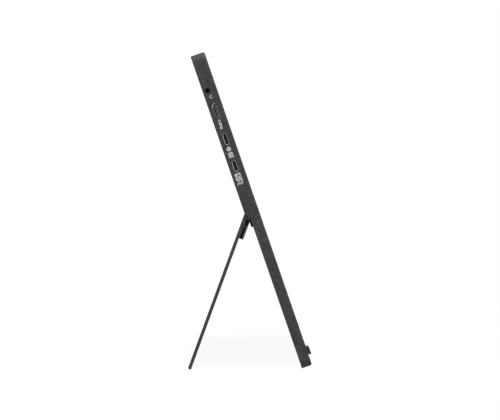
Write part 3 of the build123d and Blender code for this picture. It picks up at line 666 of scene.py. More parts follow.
SLOT_FINISHES: dict[str, Finish] = {
    # Anodised aluminium: a dry dark grey metal that never glints.
    "case_finish": BlastedAnodised("bead_blasted_anodised_case", "#343434", "#484848", 0.52),
    "stand_finish": BlastedAnodised("bead_blasted_anodised_stand", "#353535", "#494949", 0.5),
    # Moulded plastics and rubbers, from satin to dead matt.
    "bezel_plastic": SparkTextured(
        "spark_textured_frame", "#19191a", "#232324", 0.5, 0.06, 0.45, 0.02, gloss=0.35
    ),
    "black_plastic": SparkTextured(
        "spark_textured_cover", "#3a3a3a", "#474747", 0.6, 0.06, 0.5, 0.02, gloss=0.35
    ),
    "key_plastic": SparkTextured(
        "moulded_key_caps", "#303031", "#3a3a3b", 0.5, 0.05, 0.35, 0.012, gloss=0.4
    ),
    "soft_rubber": MouldedRubber("moulded_silicone", "#141414", "#1e1e1e"),
    "pad_rubber": PAD_RUBBER,
    "socket_inner": SOCKET_INNER_AND_SHADE,
    "speaker_black": SparkTextured(
        "moulded_speaker_case", "#1d1d1e", "#282829", 0.6, 0.05, 0.5, 0.02
    ),
    "mesh_cloth": WovenMesh("acoustic_mesh_cloth", "#131313", "#262626", 0.9, 0.0, 0.4, 0.05),
    # Etched glass: a blue-black sheet whose reflections are blurred.
    "screen_glass": EtchedGlass(
        "etched_screen_glass", "#0a0b0d", "#0e1013", 0.28, 0.04, 0.5, 0.002, gloss=0.22, coat=0.06
    ),
    # What lies under the glass: foam, tape, white film, clear acrylic and a zinc-grey tray.
    "foam": CellFoam("cut_cell_foam", "#121212", "#222222", 0.95, 0.0, 0.8, 0.08),
    "adhesive": Finish("acrylic_bonding_tape", "#c6c6c8", "#d2d2d4", 0.4, 0.08, 2.0),
    "white_sheet": Finish("diffusing_white_film", "#e8e8ea", "#f2f2f3", 0.6, 0.05, 1.2, 0.004),
    "clear_guide": ClearResin(
        "polished_acrylic_guide", "#e2e2e4", "#ececee", 0.08, 0.03, 3.0, 0.002, ior=1.49
    ),
    "tray_steel": RolledMetal(
        "galvanised_tray_sheet", "#aeb0b3", "#bfc1c4", 0.34, 0.08, 0.5, 0.004
    ),
    # Electronics: glossy green lacquer, dull black resin, iron grey coils and amber film.
    "board_green": SolderMask("green_solder_mask", "#10392a", "#1d5440", 0.35, 0.05, 1.0, 0.03),
    "chip_black": SparkTextured("moulded_chip_resin", "#191919", "#232323", 0.55, 0.05, 0.3),
    "coil_grey": Finish("pressed_iron_powder", "#434345", "#505052", 0.7, 0.08, 0.4, 0.02),
    "flex_film": Finish(
        "polyimide_flex_film", "#b46f28", "#c88034", 0.3, 0.06, 2.5, 0.004, ior=1.7
    ),
    "clear_light": SparkTextured(
        "smoked_light_lens", "#4a4a4b", "#565657", 0.35, 0.05, 0.4, 0.004, ior=1.58
    ),
    # Plated steels: black nickel for the hinges, and brighter zinc and nickel.
    "socket_shell": RolledMetal(
        "nickel_plated_shell", "#8e8f91", "#a3a4a6", 0.34, 0.06, 0.25, 0.003
    ),
    "hinge_steel": RolledMetal(
        "black_nickel_hinge_steel", "#434446", "#535456", 0.36, 0.07, 0.4, 0.006
    ),
    "screw_steel": RolledMetal(
        "zinc_plated_screw_steel", "#8c8d90", "#a0a1a4", 0.3, 0.06, 0.3, 0.004
    ),
    "magnet_plate": RolledMetal(
        "nickel_plated_magnet", "#8a8b8d", "#9b9c9e", 0.3, 0.05, 0.5, 0.002
    ),
}
NODE_FINISHES: dict[str, Finish] = {
    Socket.JACK.value: NOSE,
    Socket.VIDEO.value: DULL_SHELL,
    "front_bumper_left": BUMPER_RUBBER,
    "front_bumper_right": BUMPER_RUBBER,
}


# --- places and pieces
@dataclass(frozen=True)
class Datum:
    """A drawing frame in millimetres: across, along and out, about an origin in metres.

    Attributes:
        origin: Where the drawing's zero is.
        across: The drawing's x.
        along: The drawing's y.
        out: The drawing's z.
    """

    origin: Vector
    across: Vector
    along: Vector
    out: Vector

    def matrix(self) -> Matrix:
        """Gives the matrix from drawing millimetres to the model's metres."""
        axes = [self.across * MM, self.along * MM, self.out * MM, self.origin]
        return Matrix([[axis[row] for axis in axes] for row in range(3)] + [[0, 0, 0, 1]])

    def shifted(self, x: float, y: float, z: float = 0.0) -> "Datum":
        """Gives the same frame with its origin moved by that many millimetres."""
        return Datum(self.matrix() @ Vector((x, y, z)), self.across, self.along, self.out)

    def local(self, point: Iterable[float]) -> Vector:
        """Gives the drawing's own millimetres of a point in the model's metres."""
        return self.matrix().inverted() @ Vector(point)


def mount(name: str) -> dict[str, Any]:
    """Gives one mount of the record."""
    return next(m for m in frame["record"]["mounts"] if m["name"] == name)


def hinge() -> tuple[Vector, float]:
    """Gives a point on the stand's hinge axis, and how far the stand is open, in degrees."""
    joint = next(j for j in frame["joints"] if j["name"] == "kickstand_hinge")
    return Vector(joint["pos_m"]), -joint["range_deg"][0]


def display_datum() -> Datum:
    """Works out the display's drawing frame from the record: x across, y up, z to the front.

    Returns:
        The frame, whose origin is level with the hinge axis, on the upper rear face.
    """
    rear = mount("rear_face")
    front = -Vector(rear["axis"]).normalized()
    across = Vector((1.0, 0.0, 0.0))
    axis = hinge()[0]
    depth = (Vector(rear["pos_m"]) - axis).dot(front)
    return Datum(axis + front * depth, across, front.cross(across), front)


def stand_datum(closed: Datum) -> Datum:
    """Turns the display's frame about the hinge axis to where the open stand is.

    Args:
        closed: The display's drawing frame.

    Returns:
        The stand's drawing frame: x across, y towards the hinge, z towards the display.
    """
    axis, opened = hinge()
    turn = Matrix.Rotation(math.radians(opened), 3, "X")
    origin = axis + turn @ (closed.origin - axis)
    return Datum(origin, closed.across, turn @ closed.along, turn @ closed.out)


def face_datum(panel: Datum, side: Side) -> Datum:
    """Gives the drawing frame of one side face of the display.

    Args:
        panel: The display's drawing frame.
        side: Which side it is.

    Returns:
        A frame whose x reads along the side, whose y points to the rear, and whose z points
        out of the side. Its origin is level with the panel's.
    """
    lo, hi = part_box("rear_shell")
    reach = lo.x if side is Side.SOCKETS else hi.x
    origin = Vector((reach, panel.origin.y, panel.origin.z))
    return Datum(origin, panel.along * -side.value, -panel.out, Vector((side.value, 0.0, 0.0)))


def local_box(place: Datum, node: str) -> tuple[Vector, Vector]:
    """Measures one node along a drawing frame's own axes.

    Args:
        place: The drawing frame.
        node: The node's name.

    Returns:
        Its lowest and highest corners in the drawing's millimetres.
    """
    to_drawing = place.matrix().inverted()
    points = [to_drawing @ v.co for v in frame["nodes"][node].data.vertices]
    low = Vector([min(p[i] for p in points) for i in range(3)])
    high = Vector([max(p[i] for p in points) for i in range(3)])
    return low, high


def set_down(name: str, data: bpy.types.ID) -> bpy.types.Object:
    """Adds an object to the scene.

    Args:
        name: Its name.
        data: Its mesh, lamp or camera.

    Returns:
        The object.
    """
    made = bpy.data.objects.new(name, data)
    bpy.context.scene.collection.objects.link(made)
    return made


def make_piece(
    bm: Mesh,
    name: str,
    place: Datum,
    finish: Finish,
    body: Body = Body.DISPLAY,
) -> None:
    """Turns a drawn mesh into a piece that rides on a body.

    Args:
        bm: The mesh, in the drawing's millimetres. It is freed.
        name: The piece's name.
        place: The drawing frame that it was drawn in.
        finish: Its finish.
        body: The body that it moves with.
    """
    bmesh.ops.remove_doubles(bm, verts=bm.verts, dist=WELD_MM)
    bmesh.ops.transform(bm, matrix=place.matrix(), verts=bm.verts)
    bmesh.ops.recalc_face_normals(bm, faces=bm.faces)
    mesh = bpy.data.meshes.new(name)
    bm.to_mesh(mesh)
    bm.free()
    mesh.materials.append(finish.material())
    piece = set_down(name, mesh)
    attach(piece, body.value)
    LOG.info("%s: %d faces, rides on %s", name, len(mesh.polygons), body.value)


# --- mesh drawing
def raise_faces(bm: Mesh, height: float, sunk: float = 0.0) -> None:
    """Gives flat faces a thickness.

    Args:
        bm: The flat drawing, at z = 0.
        height: How far its top stands above z = 0.
        sunk: How far its underside lies below z = 0.
    """
    bmesh.ops.translate(bm, verts=bm.verts, vec=(0, 0, -sunk))
    grown = bmesh.ops.extrude_face_region(bm, geom=bm.faces[:])["geom"]
    top = [g for g in grown if isinstance(g, bmesh.types.BMVert)]
    bmesh.ops.translate(bm, verts=top, vec=(0, 0, height + sunk))


def add_disc(bm: Mesh, radius: float, corners: int) -> list[bmesh.types.BMVert]:
    """Draws a flat disc about zero, with no corner on an axis.

    Args:
        bm: The mesh.
        radius: The disc's radius.
        corners: How many corners it has.

    Returns:
        Its corners.
    """
    disc = bmesh.ops.create_circle(bm, cap_ends=True, segments=corners, radius=radius)["verts"]
    half = Matrix.Rotation(math.pi / corners, 3, "Z")
    bmesh.ops.rotate(bm, verts=disc, cent=(0, 0, 0), matrix=half)
    return disc


def add_sheet(bm: Mesh, wide: float, high: float) -> None:
    """Draws one flat rectangle about zero."""
    bmesh.ops.create_grid(bm, x_segments=1, y_segments=1, size=0.5)
    bmesh.ops.scale(bm, verts=bm.verts, vec=(wide, high, 1))


def add_block(bm: Mesh, size: tuple[float, ...], middle: tuple[float, ...] = (0, 0, 0)) -> None:
    """Adds a block.

    Args:
        bm: The mesh.
        size: The block's size along x, y and z.
        middle: Where its middle is.
    """
    block = bmesh.ops.create_cube(bm, size=1.0)["verts"]
    bmesh.ops.scale(bm, verts=block, vec=size)
    bmesh.ops.translate(bm, verts=block, vec=middle)


def hollow(bm: Mesh, rim: float) -> None:
    """Takes the middle out of a flat face.

    Args:
        bm: The mesh, with that one face.
        rim: How wide the rim is that stays.
    """
    inner = bm.faces[:]
    bmesh.ops.inset_region(bm, faces=inner, thickness=rim, use_boundary=True, depth=0.0)
    bmesh.ops.delete(bm, geom=inner, context="FACES")


def take_off(
    bm: Mesh,
    geom: list[bmesh.types.BMEdge] | list[bmesh.types.BMVert],
    offset: float,
    segments: int,
) -> None:
    """Cuts or rounds off edges, or the corners of a flat face.

    Args:
        bm: The mesh.
        geom: Its edges, or its corner points.
        offset: How much is taken off.
        segments: How many faces the rounding has; 1 gives a straight cut.
    """
    affect = "EDGES" if isinstance(geom[0], bmesh.types.BMEdge) else "VERTICES"
    bmesh.ops.bevel(
        bm, geom=geom, offset=offset, segments=segments, profile=0.5, affect=affect, material=-1
    )


def spin_out(
    bm: Mesh,
    section: list[bmesh.types.BMVert | bmesh.types.BMEdge],
    centre: tuple[float, float, float],
    sweep: float,
    steps: int,
) -> None:
    """Turns a section about an upright axis.

    Args:
        bm: The mesh.
        section: The section's points and edges.
        centre: A point on the axis.
        sweep: How far it goes round, in degrees.
        steps: How many steps it takes.
    """
    bmesh.ops.spin(
        bm,
        geom=section,
        cent=centre,
        axis=(0, 0, 1),
        angle=math.radians(sweep),
        steps=steps,
        use_merge=abs(sweep) >= 360,
        use_duplicate=False,
    )


@dataclass
class Pen:
    """Draws flat strokes with round ends, as a printed mark is drawn.

    Attributes:
        bm: The mesh that the strokes go into.
        width: The stroke's width.
        corners: How many corners a round end is drawn with.
        facet: How many degrees of a bent stroke one step takes.
    """

    bm: Mesh
    width: float
    corners: int = 12
    facet: float = 15.0

    def line(self, x0: float, y0: float, x1: float, y1: float) -> None:
        """Draws one straight stroke.

        Args:
            x0: The x of where it starts.
            y0: The y of where it starts.
            x1: The x of where it ends.
            y1: The y of where it ends.
        """
        made = add_disc(self.bm, self.width / 2, self.corners)
        far = [v for v in made if v.co.x > 0]
        bmesh.ops.translate(self.bm, verts=far, vec=(math.hypot(x1 - x0, y1 - y0), 0, 0))
        turn = Matrix.Rotation(math.atan2(y1 - y0, x1 - x0), 3, "Z")
        bmesh.ops.rotate(self.bm, verts=made, cent=(0, 0, 0), matrix=turn)
        bmesh.ops.translate(self.bm, verts=made, vec=(x0, y0, 0))

    def arc(self, x: float, y: float, radius: float, start: float, sweep: float) -> None:
        """Draws a bent stroke about a centre.

        Args:
            x: The centre's x.
            y: The centre's y.
            radius: The radius of the stroke's middle.
            start: Where it starts, in degrees.
            sweep: How far it goes round, in degrees.
        """
        ends = [self.bm.verts.new((x + radius + s * self.width / 2, y, 0)) for s in (-1, 1)]
        edge = self.bm.edges.new(ends)
        turn = Matrix.Rotation(math.radians(start), 3, "Z")
        bmesh.ops.rotate(self.bm, verts=ends, cent=(x, y, 0), matrix=turn)
        steps = max(round(abs(sweep) / self.facet), 4)
        spin_out(self.bm, [*ends, edge], (x, y, 0), sweep, steps)


# --- printed marks
class Mark(Enum):
    """The plain signs that are printed beside sockets and on keys."""

    HEADPHONES = "headphones"
    SCREEN = "screen"
    GRILLE = "grille"
    ARROW = "arrow"
    ONE = "1"
    TWO = "2"
    SUPPLY = "supply"
    BARS = "bars"
    POWER = "power"
    PLUS = "plus"
    MINUS = "minus"


@dataclass
class Cell:
    """The square that one sign is drawn in. Its methods count in shares of its side.

    Attributes:
        pen: What draws the sign.
        x: The cell's left edge.
        y: The cell's lower edge.
        size: The cell's side.
    """

    pen: Pen
    x: float
    y: float
    size: float

    def stroke(self, x0: float, y0: float, x1: float, y1: float) -> None:
        """Draws one straight stroke from the first point to the second."""
        ends = zip((self.x, self.y, self.x, self.y), (x0, y0, x1, y1))
        self.pen.line(*(corner + share * self.size for corner, share in ends))

    def bend(self, y: float, radius: float, start: float = 0.0, sweep: float = 360.0) -> None:
        """Draws a bent stroke about a point of the middle line, with its turns in degrees."""
        middle = (self.x + 0.5 * self.size, self.y + y * self.size)
        self.pen.arc(*middle, radius * self.size, start, sweep)

    def draw(self, mark: Mark) -> None:
        """Draws one sign.

        Args:
            mark: Which sign it is.
        """
        low = self.pen.width / 2 / self.size
        high = 1 - low
        r = 0.5 - low
        if mark is Mark.HEADPHONES:
            self.bend(0.4, r, 0, 180)
            for s in (-r, r):
                self.stroke(0.5 + s, 0.4, 0.5 + s, 0.16)
                self.stroke(0.5 + s * 0.8, 0.35, 0.5 + s * 0.8, 0.16)
        elif mark in (Mark.GRILLE, Mark.BARS):
            tops = (0.45, 0.62, 0.8, 1.0) if mark is Mark.BARS else (1.0, 1.0, 1.0, 1.0)
            for step, top in enumerate(tops):
                across = low + step * 2 * r / 3
                self.stroke(across, low, across, top - low)
        elif mark is Mark.SCREEN:
            for level in (0.34, high):
                self.stroke(low, level, high, level)
            for edge in (low, high):
                self.stroke(edge, 0.34, edge, high)
            self.stroke(0.5, 0.34, 0.5, low)
            self.stroke(0.28, low, 0.72, low)
            self.stroke(0.32, 0.64, 0.68, 0.64)
        elif mark is Mark.ARROW:
            self.stroke(low, 0.5, high, 0.5)
            for s in (-0.38, 0.38):
                self.stroke(0.5, 0.5 + s, high, 0.5)
        elif mark is Mark.ONE:
            self.stroke(0.5, low, 0.5, high)
            self.stroke(0.24, 0.66, 0.5, high)
            self.stroke(0.24, low, 0.76, low)
        elif mark is Mark.TWO:
            self.bend(0.7 - low, 0.28, -30, 190)
            self.stroke(0.74, 0.56 - low, 0.2, low)
            self.stroke(0.2, low, 0.82, low)
        elif mark is Mark.SUPPLY:
            self.bend(0.5, r)
            self.bend(0.5, 0.35 * r)
        elif mark is Mark.POWER:
            self.bend(0.5, 0.36, 120, 300)
            self.stroke(0.5, 0.55, 0.5, 0.95)
        else:
            self.stroke(0.12, 0.5, 0.88, 0.5)
            if mark is Mark.PLUS:
                self.stroke(0.5, 0.12, 0.5, 0.88)


@dataclass(frozen=True)
class MarkRow:
    """One printed row of signs, reading up the side.

    Attributes:
        name: Its piece's name.
        socket: The socket that it belongs to.
        drop: How far below the socket's middle the row's middle is.
        rearward: How far behind the middle line of the marks it is.
        cell: The side of a sign.
        stroke: The stroke's width.
        pitch: How far apart the signs are.
        marks: Its signs.
    """

    name: str
    socket: Socket
    drop: float
    rearward: float
    cell: float
    stroke: float
    pitch: float
    marks: tuple[Mark, ...]


@dataclass
class PrintedMarks:
    """The pad-printed signs beside the sockets and on the keys.

    Attributes:
        panel: The display's drawing frame.
        proud: How far the ink stands proud.
        sunk: How far it goes into the surface, so that no gap shows.
        depth: How far in from the rear face line the middle of a row is.
        key_cell: The side of a sign on a key.
        key_stroke: The stroke's width on a key.
        rows: The rows beside the sockets.
        keys: The sign on each key.
    """

    panel: Datum
    proud: float = 0.02
    sunk: float = 0.01
    depth: float = 4.7
    key_cell: float = 1.7
    key_stroke: float = 0.26
    rows: tuple[MarkRow, ...] = (
        MarkRow("mark_headphones", Socket.JACK, 5.3, -0.25, 2.8, 0.4, 0, (Mark.HEADPHONES,)),
        MarkRow(
            "mark_video",
            Socket.VIDEO,
            drop=10.9,
            rearward=0.0,
            cell=2.2,
            stroke=0.52,
            pitch=2.0,
            marks=(Mark.SCREEN, Mark.BARS, Mark.ARROW, Mark.ONE),
        ),
        MarkRow("mark_supply", Socket.UPPER, 7.9, 0.05, 3.4, 0.6, 0, (Mark.SUPPLY,)),
        MarkRow("mark_screen", Socket.UPPER, 12.7, 0.0, 3.9, 0.66, 0, (Mark.GRILLE,)),
        MarkRow(
            "mark_lower_first",
            Socket.LOWER,
            drop=10.6,
            rearward=1.25,
            cell=2.45,
            stroke=0.46,
            pitch=2.35,
            marks=(Mark.TWO, Mark.BARS, Mark.SCREEN, Mark.SUPPLY),
        ),
        MarkRow(
            "mark_lower_second",
            Socket.LOWER,
            drop=10.6,
            rearward=-1.2,
            cell=2.35,
            stroke=0.46,
            pitch=2.3,
            marks=(Mark.ARROW, Mark.BARS, Mark.SCREEN, Mark.BARS),
        ),
    )
    keys: tuple[tuple[Body, Mark], ...] = (
        (Body.POWER, Mark.POWER),
        (Body.PLUS, Mark.PLUS),
        (Body.MINUS, Mark.MINUS),
    )

    def build(self) -> None:
        """Prints every row on the socket side, and one sign on each key."""
        face = face_datum(self.panel, Side.SOCKETS)
        for row in self.rows:
            middle = face.local(mount(row.socket.value)["pos_m"]).x - row.drop
            low = row.rearward - self.depth - row.cell / 2
            bm = bmesh.new()
            for number, mark in enumerate(row.marks):
                step = (number - (len(row.marks) - 1) / 2) * row.pitch
                left = middle + step - row.cell / 2
                Cell(Pen(bm, row.stroke), left, low, row.cell).draw(mark)
            raise_faces(bm, self.proud, self.sunk)
            make_piece(bm, row.name, face, INK)
        face = face_datum(self.panel, Side.KEYS)
        corner = -self.key_cell / 2
        for body, mark in self.keys:
            lo, hi = local_box(face, body.value)
            middle = (lo + hi) / 2
            bm = bmesh.new()
            Cell(Pen(bm, self.key_stroke), corner, corner, self.key_cell).draw(mark)
            raise_faces(bm, self.proud, self.sunk)
            place = face.shifted(middle.x, middle.y, hi.z)
            make_piece(bm, f"{body.value}_sign", place, DARK_INK, body=body)


# --- sockets
@dataclass
class SocketDetails:
    """What is seen inside the sockets: moulded cores, contacts and the polished lip. The black linings are painted
    shade, the grey moulding's lighter grey is painted light, and the lip, drawn only along the rear edge of a
    mouth, is a painted highlight.

    Attributes:
        face: The drawing frame of the socket side.
        wall: The steel shell's wall.
        cut: How much the inside of the video socket's two rear corners is cut off.
        shade_sleeve: Thickness of the black sleeve inside a shell.
        shade_sleeve_start: How far behind the mouth the sleeve starts.
        base_start: How far behind the mouth the moulded base starts.
        depth: How far behind the mouth it all ends.
        core_gap: How far the video socket's grey moulding stays off its sleeve.
        core_share: How much of the socket's width that moulding takes.
        core_short: How much shorter than the sleeve's inside it is.
        core_shift: How far it is moved towards the lower end.
        core_start: How far behind the mouth it starts.
        core_round: Radius of its edges.
        lip: How far inside a shell's outline the middle of its lip is, and how thick it is; the lip is a painted
            highlight.
        highlight_proud: How far the painted-highlight lip stands out of the mouth.
        highlight_widths: The width of the painted-highlight lip on the video socket, and on the two others.
        highlight_hook: The corners of the video socket's painted-highlight lip, from the shell's upper end and
            from its rear edge.
        contact: Width, length and thickness of one contact.
        contact_start: How far behind a tongue's end its contacts start.
        tongue_start: How far behind the mouth a tongue's end is.
        tongue_half: Half a tongue's thickness.
        ring: The jack ring's section, from its bore outwards and from the face up.
        ring_steps: How many corners the ring has.
        end_corners: How many corners the round ends of a lining have between them.
    """

    face: Datum
    wall: float = 0.3
    cut: float = 0.78
    shade_sleeve: float = 0.12
    shade_sleeve_start: float = 0.45
    base_start: float = 4.6
    depth: float = 6.6
    core_gap: float = 0.03
    core_share: float = 0.48
    core_short: float = 1.2
    core_shift: float = 0.5
    core_start: float = 0.7
    core_round: float = 0.15
    lip: float = 0.12
    highlight_proud: float = 0.03
    highlight_widths: tuple[float, float] = (0.55, 0.22)
    highlight_hook: tuple[tuple[float, float], ...] = ((2.4, 0.0), (1.2, 0.0), (0.45, 0.75), (0.4, 1.5))
    contact: tuple[float, float, float] = (0.25, 3.0, 0.04)
    contact_start: float = 1.5
    tongue_start: float = 1.0
    tongue_half: float = 0.35
    ring: tuple[tuple[float, float], ...] = ((0.02, -0.3), (0.02, 0.0), (0.42, 0.02), (0.5, -0.1))
    ring_steps: int = 48
    end_corners: int = 32

    def cap(self, bm: Mesh, low: Vector, high: Vector, cut: float) -> None:
        """Draws a shell's inner outline as one flat face about zero.

        Args:
            bm: Where it is drawn.
            low: The shell's lowest corner in the side's drawing.
            high: Its highest corner.
            cut: How much its rear corners are cut off, or 0 for round ends.
        """
        long, tall = high.x - low.x - 2 * self.wall, high.y - low.y - 2 * self.wall
        if cut > 0:
            add_sheet(bm, long, tall)
            take_off(bm, [v for v in bm.verts if v.co.y > 0], cut, segments=1)
            return
        ring = add_disc(bm, tall / 2, self.end_corners)
        for s in (-1, 1):
            end = [v for v in ring if v.co.x * s > 0]
            bmesh.ops.translate(bm, verts=end, vec=(s * (long - tall) / 2, 0, 0))

    def lining(self, socket: Socket, cut: float) -> None:
        """Makes the black lining of painted shade inside the shell, and the moulded base of one socket.

        Args:
            socket: Which socket it is.
            cut: How much the shell's rear corners are cut off, or 0 for round ends.
        """
        low, high = local_box(self.face, socket.value)
        middle = (low + high) / 2
        place = self.face.shifted(middle.x, middle.y, high.z)
        for part, start in (("shade_sleeve", self.shade_sleeve_start), ("base", self.base_start)):
            bm = bmesh.new()
            self.cap(bm, low, high, cut)
            # The hollow black lining darkens the shell's inside: painted shade.
            if part == "shade_sleeve":
                hollow(bm, self.shade_sleeve)
            raise_faces(bm, -start, self.depth)
            name = f"{socket.name.lower()}_socket_{part}"
            make_piece(bm, name, place, SOCKET_INNER_AND_SHADE)

    def video_core(self) -> None:
        """Fills the front of the video socket with its grey moulding, beside the tongue; the moulding's lighter
        grey is painted light on the socket's plastic.
        """
        low, high = local_box(self.face, Socket.VIDEO.value)
        inset = self.wall + self.shade_sleeve + self.core_gap
        long = high.x - low.x - 2 * inset - self.core_short
        tall = (high.y - low.y) * self.core_share
        bm = bmesh.new()
        add_block(bm, (long, tall, self.depth - self.core_start))
        level = [e for e in bm.edges if abs(e.verts[0].co.z - e.verts[1].co.z) < WELD_MM]
        take_off(bm, level, self.core_round, segments=2)
        place = self.face.shifted(
            (low.x + high.x) / 2 - self.core_shift,
            low.y + inset + tall / 2,
            high.z - (self.depth + self.core_start) / 2,
        )
        make_piece(bm, "video_socket_moulding", place, LIT_GREY_CORE)

    def highlight_lips(self) -> None:
        """Rolls the polished lip along the rear edge of each flat socket's mouth: a painted highlight, drawn only
        on the side where the light falls.
        """
        for socket in (Socket.VIDEO, Socket.UPPER, Socket.LOWER):
            low, high = local_box(self.face, socket.value)
            rear = high.y - self.lip
            bm = bmesh.new()
            if socket is Socket.VIDEO:
                pen = Pen(bm, self.highlight_widths[0])
                points = [(high.x - down, rear - inward) for down, inward in self.highlight_hook]
                for start, end in pairwise(points):
                    pen.line(*start, *end)
            else:
                pen = Pen(bm, self.highlight_widths[1])
                bend = (high.y - low.y) / 2 - self.lip
                pen.line(low.x + bend, rear, high.x - bend, rear)
                pen.arc(low.x + bend + self.lip, (high.y + low.y) / 2, bend, 90, 150)
            raise_faces(bm, 0.0, self.lip)
            name = f"{socket.name.lower()}_socket_lip"
            place = self.face.shifted(0.0, 0.0, high.z + self.highlight_proud)
            make_piece(bm, name, place, LIP_HIGHLIGHT)

    def contacts(self, name: str, sockets: tuple[Socket, ...], count: int, pitch: float) -> None:
        """Lays gilt contacts on both faces of the tongues of one kind of socket.

        Args:
            name: The piece's name.
            sockets: The sockets that they are in.
            count: How many contacts one face has.
            pitch: How far apart they are.
        """
        wide, long, thick = self.contact
        off = self.tongue_half + thick / 2
        behind = self.tongue_start + self.contact_start + long / 2
        bm = bmesh.new()
        for socket in sockets:
            centre = self.face.local(mount(socket.value)["pos_m"])
            for number in range(count):
                step = (number - (count - 1) / 2) * pitch
                for s in (-1, 1):
                    place = (centre.x + step, centre.y + s * off, centre.z - behind)
                    add_block(bm, (wide, thick, long), place)
        make_piece(bm, name, self.face, GOLD)

    def jack_ring(self) -> None:
        """Turns the thin washer at the mouth of the headphone socket."""
        jack = mount(Socket.JACK.value)
        middle = self.face.local(jack["pos_m"])
        bm = bmesh.new()
        points = [bm.verts.new((jack["dims"]["r_mm"] + r, 0, z)) for r, z in self.ring]
        edges = [bm.edges.new(ends) for ends in pairwise([*points, points[0]])]
        spin_out(bm, [*points, *edges], (0, 0, 0), 360, self.ring_steps)
        place = self.face.shifted(middle.x, middle.y)
        make_piece(bm, "headphone_socket_ring", place, NOSE)

    def build(self) -> None:
        """Makes every lining, lip, ring and contact of the socket side; the linings are painted shade and the lip
        pieces a painted highlight.
        """
        self.jack_ring()
        self.lining(Socket.VIDEO, self.cut)
        self.lining(Socket.UPPER, 0.0)
        self.lining(Socket.LOWER, 0.0)
        self.video_core()
        self.highlight_lips()
        ovals = (Socket.UPPER, Socket.LOWER)
        self.contacts("oval_socket_contacts", ovals, count=12, pitch=0.5)
        self.contacts("video_socket_contacts", (Socket.VIDEO,), count=10, pitch=0.72)


# --- screen
@dataclass
class ScreenFace:
    """The black mask round the picture area.

    Attributes:
        panel: The display's drawing frame.
        mask: Width of the mask that shows inside the frame.
        under: How far it goes on under the frame.
        border: How far the gasket reaches past the frame's opening at the top and sides.
        seat: How far it reaches past the opening at the bottom.
        proud: How far the mask lies above the glass, as a thin print.
    """

    panel: Datum
    mask: float = 2.4
    under: float = 0.8
    border: float = 2.6
    seat: float = 1.6
    proud: float = 0.02

    def build(self) -> None:
        """Lays the mask on the glass, as a flat ring."""
        low, high = local_box(self.panel, "panel_gasket")
        low += Vector((self.border, self.seat, 0)) - Vector((self.under, self.under, 0))
        high -= Vector((self.border, self.border, 0)) - Vector((self.under, self.under, 0))
        bm = bmesh.new()
        add_sheet(bm, high.x - low.x, high.y - low.y)
        hollow(bm, self.mask + self.under)
        raise_faces(bm, self.proud)
        place = self.panel.shifted((low.x + high.x) / 2, (low.y + high.y) / 2, low.z)
        make_piece(bm, "screen_mask", place, MASK)


# --- hinges
@dataclass
class CoverPlugs:
    """The soft black plugs that close the upper end of each hinge cover's hollow sides.

    Attributes:
        place: The stand's drawing frame.
        end_gap: How far below the cover's upper end a plug starts.
        long: Its length along the stand.
        thin: How far it stays inside the cover's thickness, on each side.
        proud: How far it stands out of the cover's side.
        corner: Radius of its corners.
    """

    place: Datum
    end_gap: float = 0.5
    long: float = 5.0
    thin: float = 0.35
    proud: float = 0.15
    corner: float = 0.5

    def build(self) -> None:
        """Sets one plug in both sides of each hinge cover."""
        for node in ("hinge_cover_left", "hinge_cover_right"):
            low, high = local_box(self.place, node)
            deep = high.z - low.z - 2 * self.thin
            bm = bmesh.new()
            mid_y = high.y - self.end_gap - self.long / 2
            for reach in (low.x, high.x):
                middle = (reach, mid_y, low.z + self.thin + deep / 2)
                add_block(bm, (2 * self.proud, self.long, deep), middle)
            across = [e for e in bm.edges if abs(e.verts[0].co.x - e.verts[1].co.x) > self.proud]
            take_off(bm, across, self.corner, segments=4)
            name = node.replace("cover", "cover_plug")
            make_piece(bm, name, self.place, PAD_RUBBER, Body.STAND)


# --- studio
@dataclass(frozen=True)
class Lamp:
    """One soft square lamp.

    Attributes:
        name: Its name.
        place: Where it hangs, in metres.
        size: Its side in metres.
        power: Its power in watts.
    """

    name: str
    place: tuple[float, float, float]
    size: float
    power: float


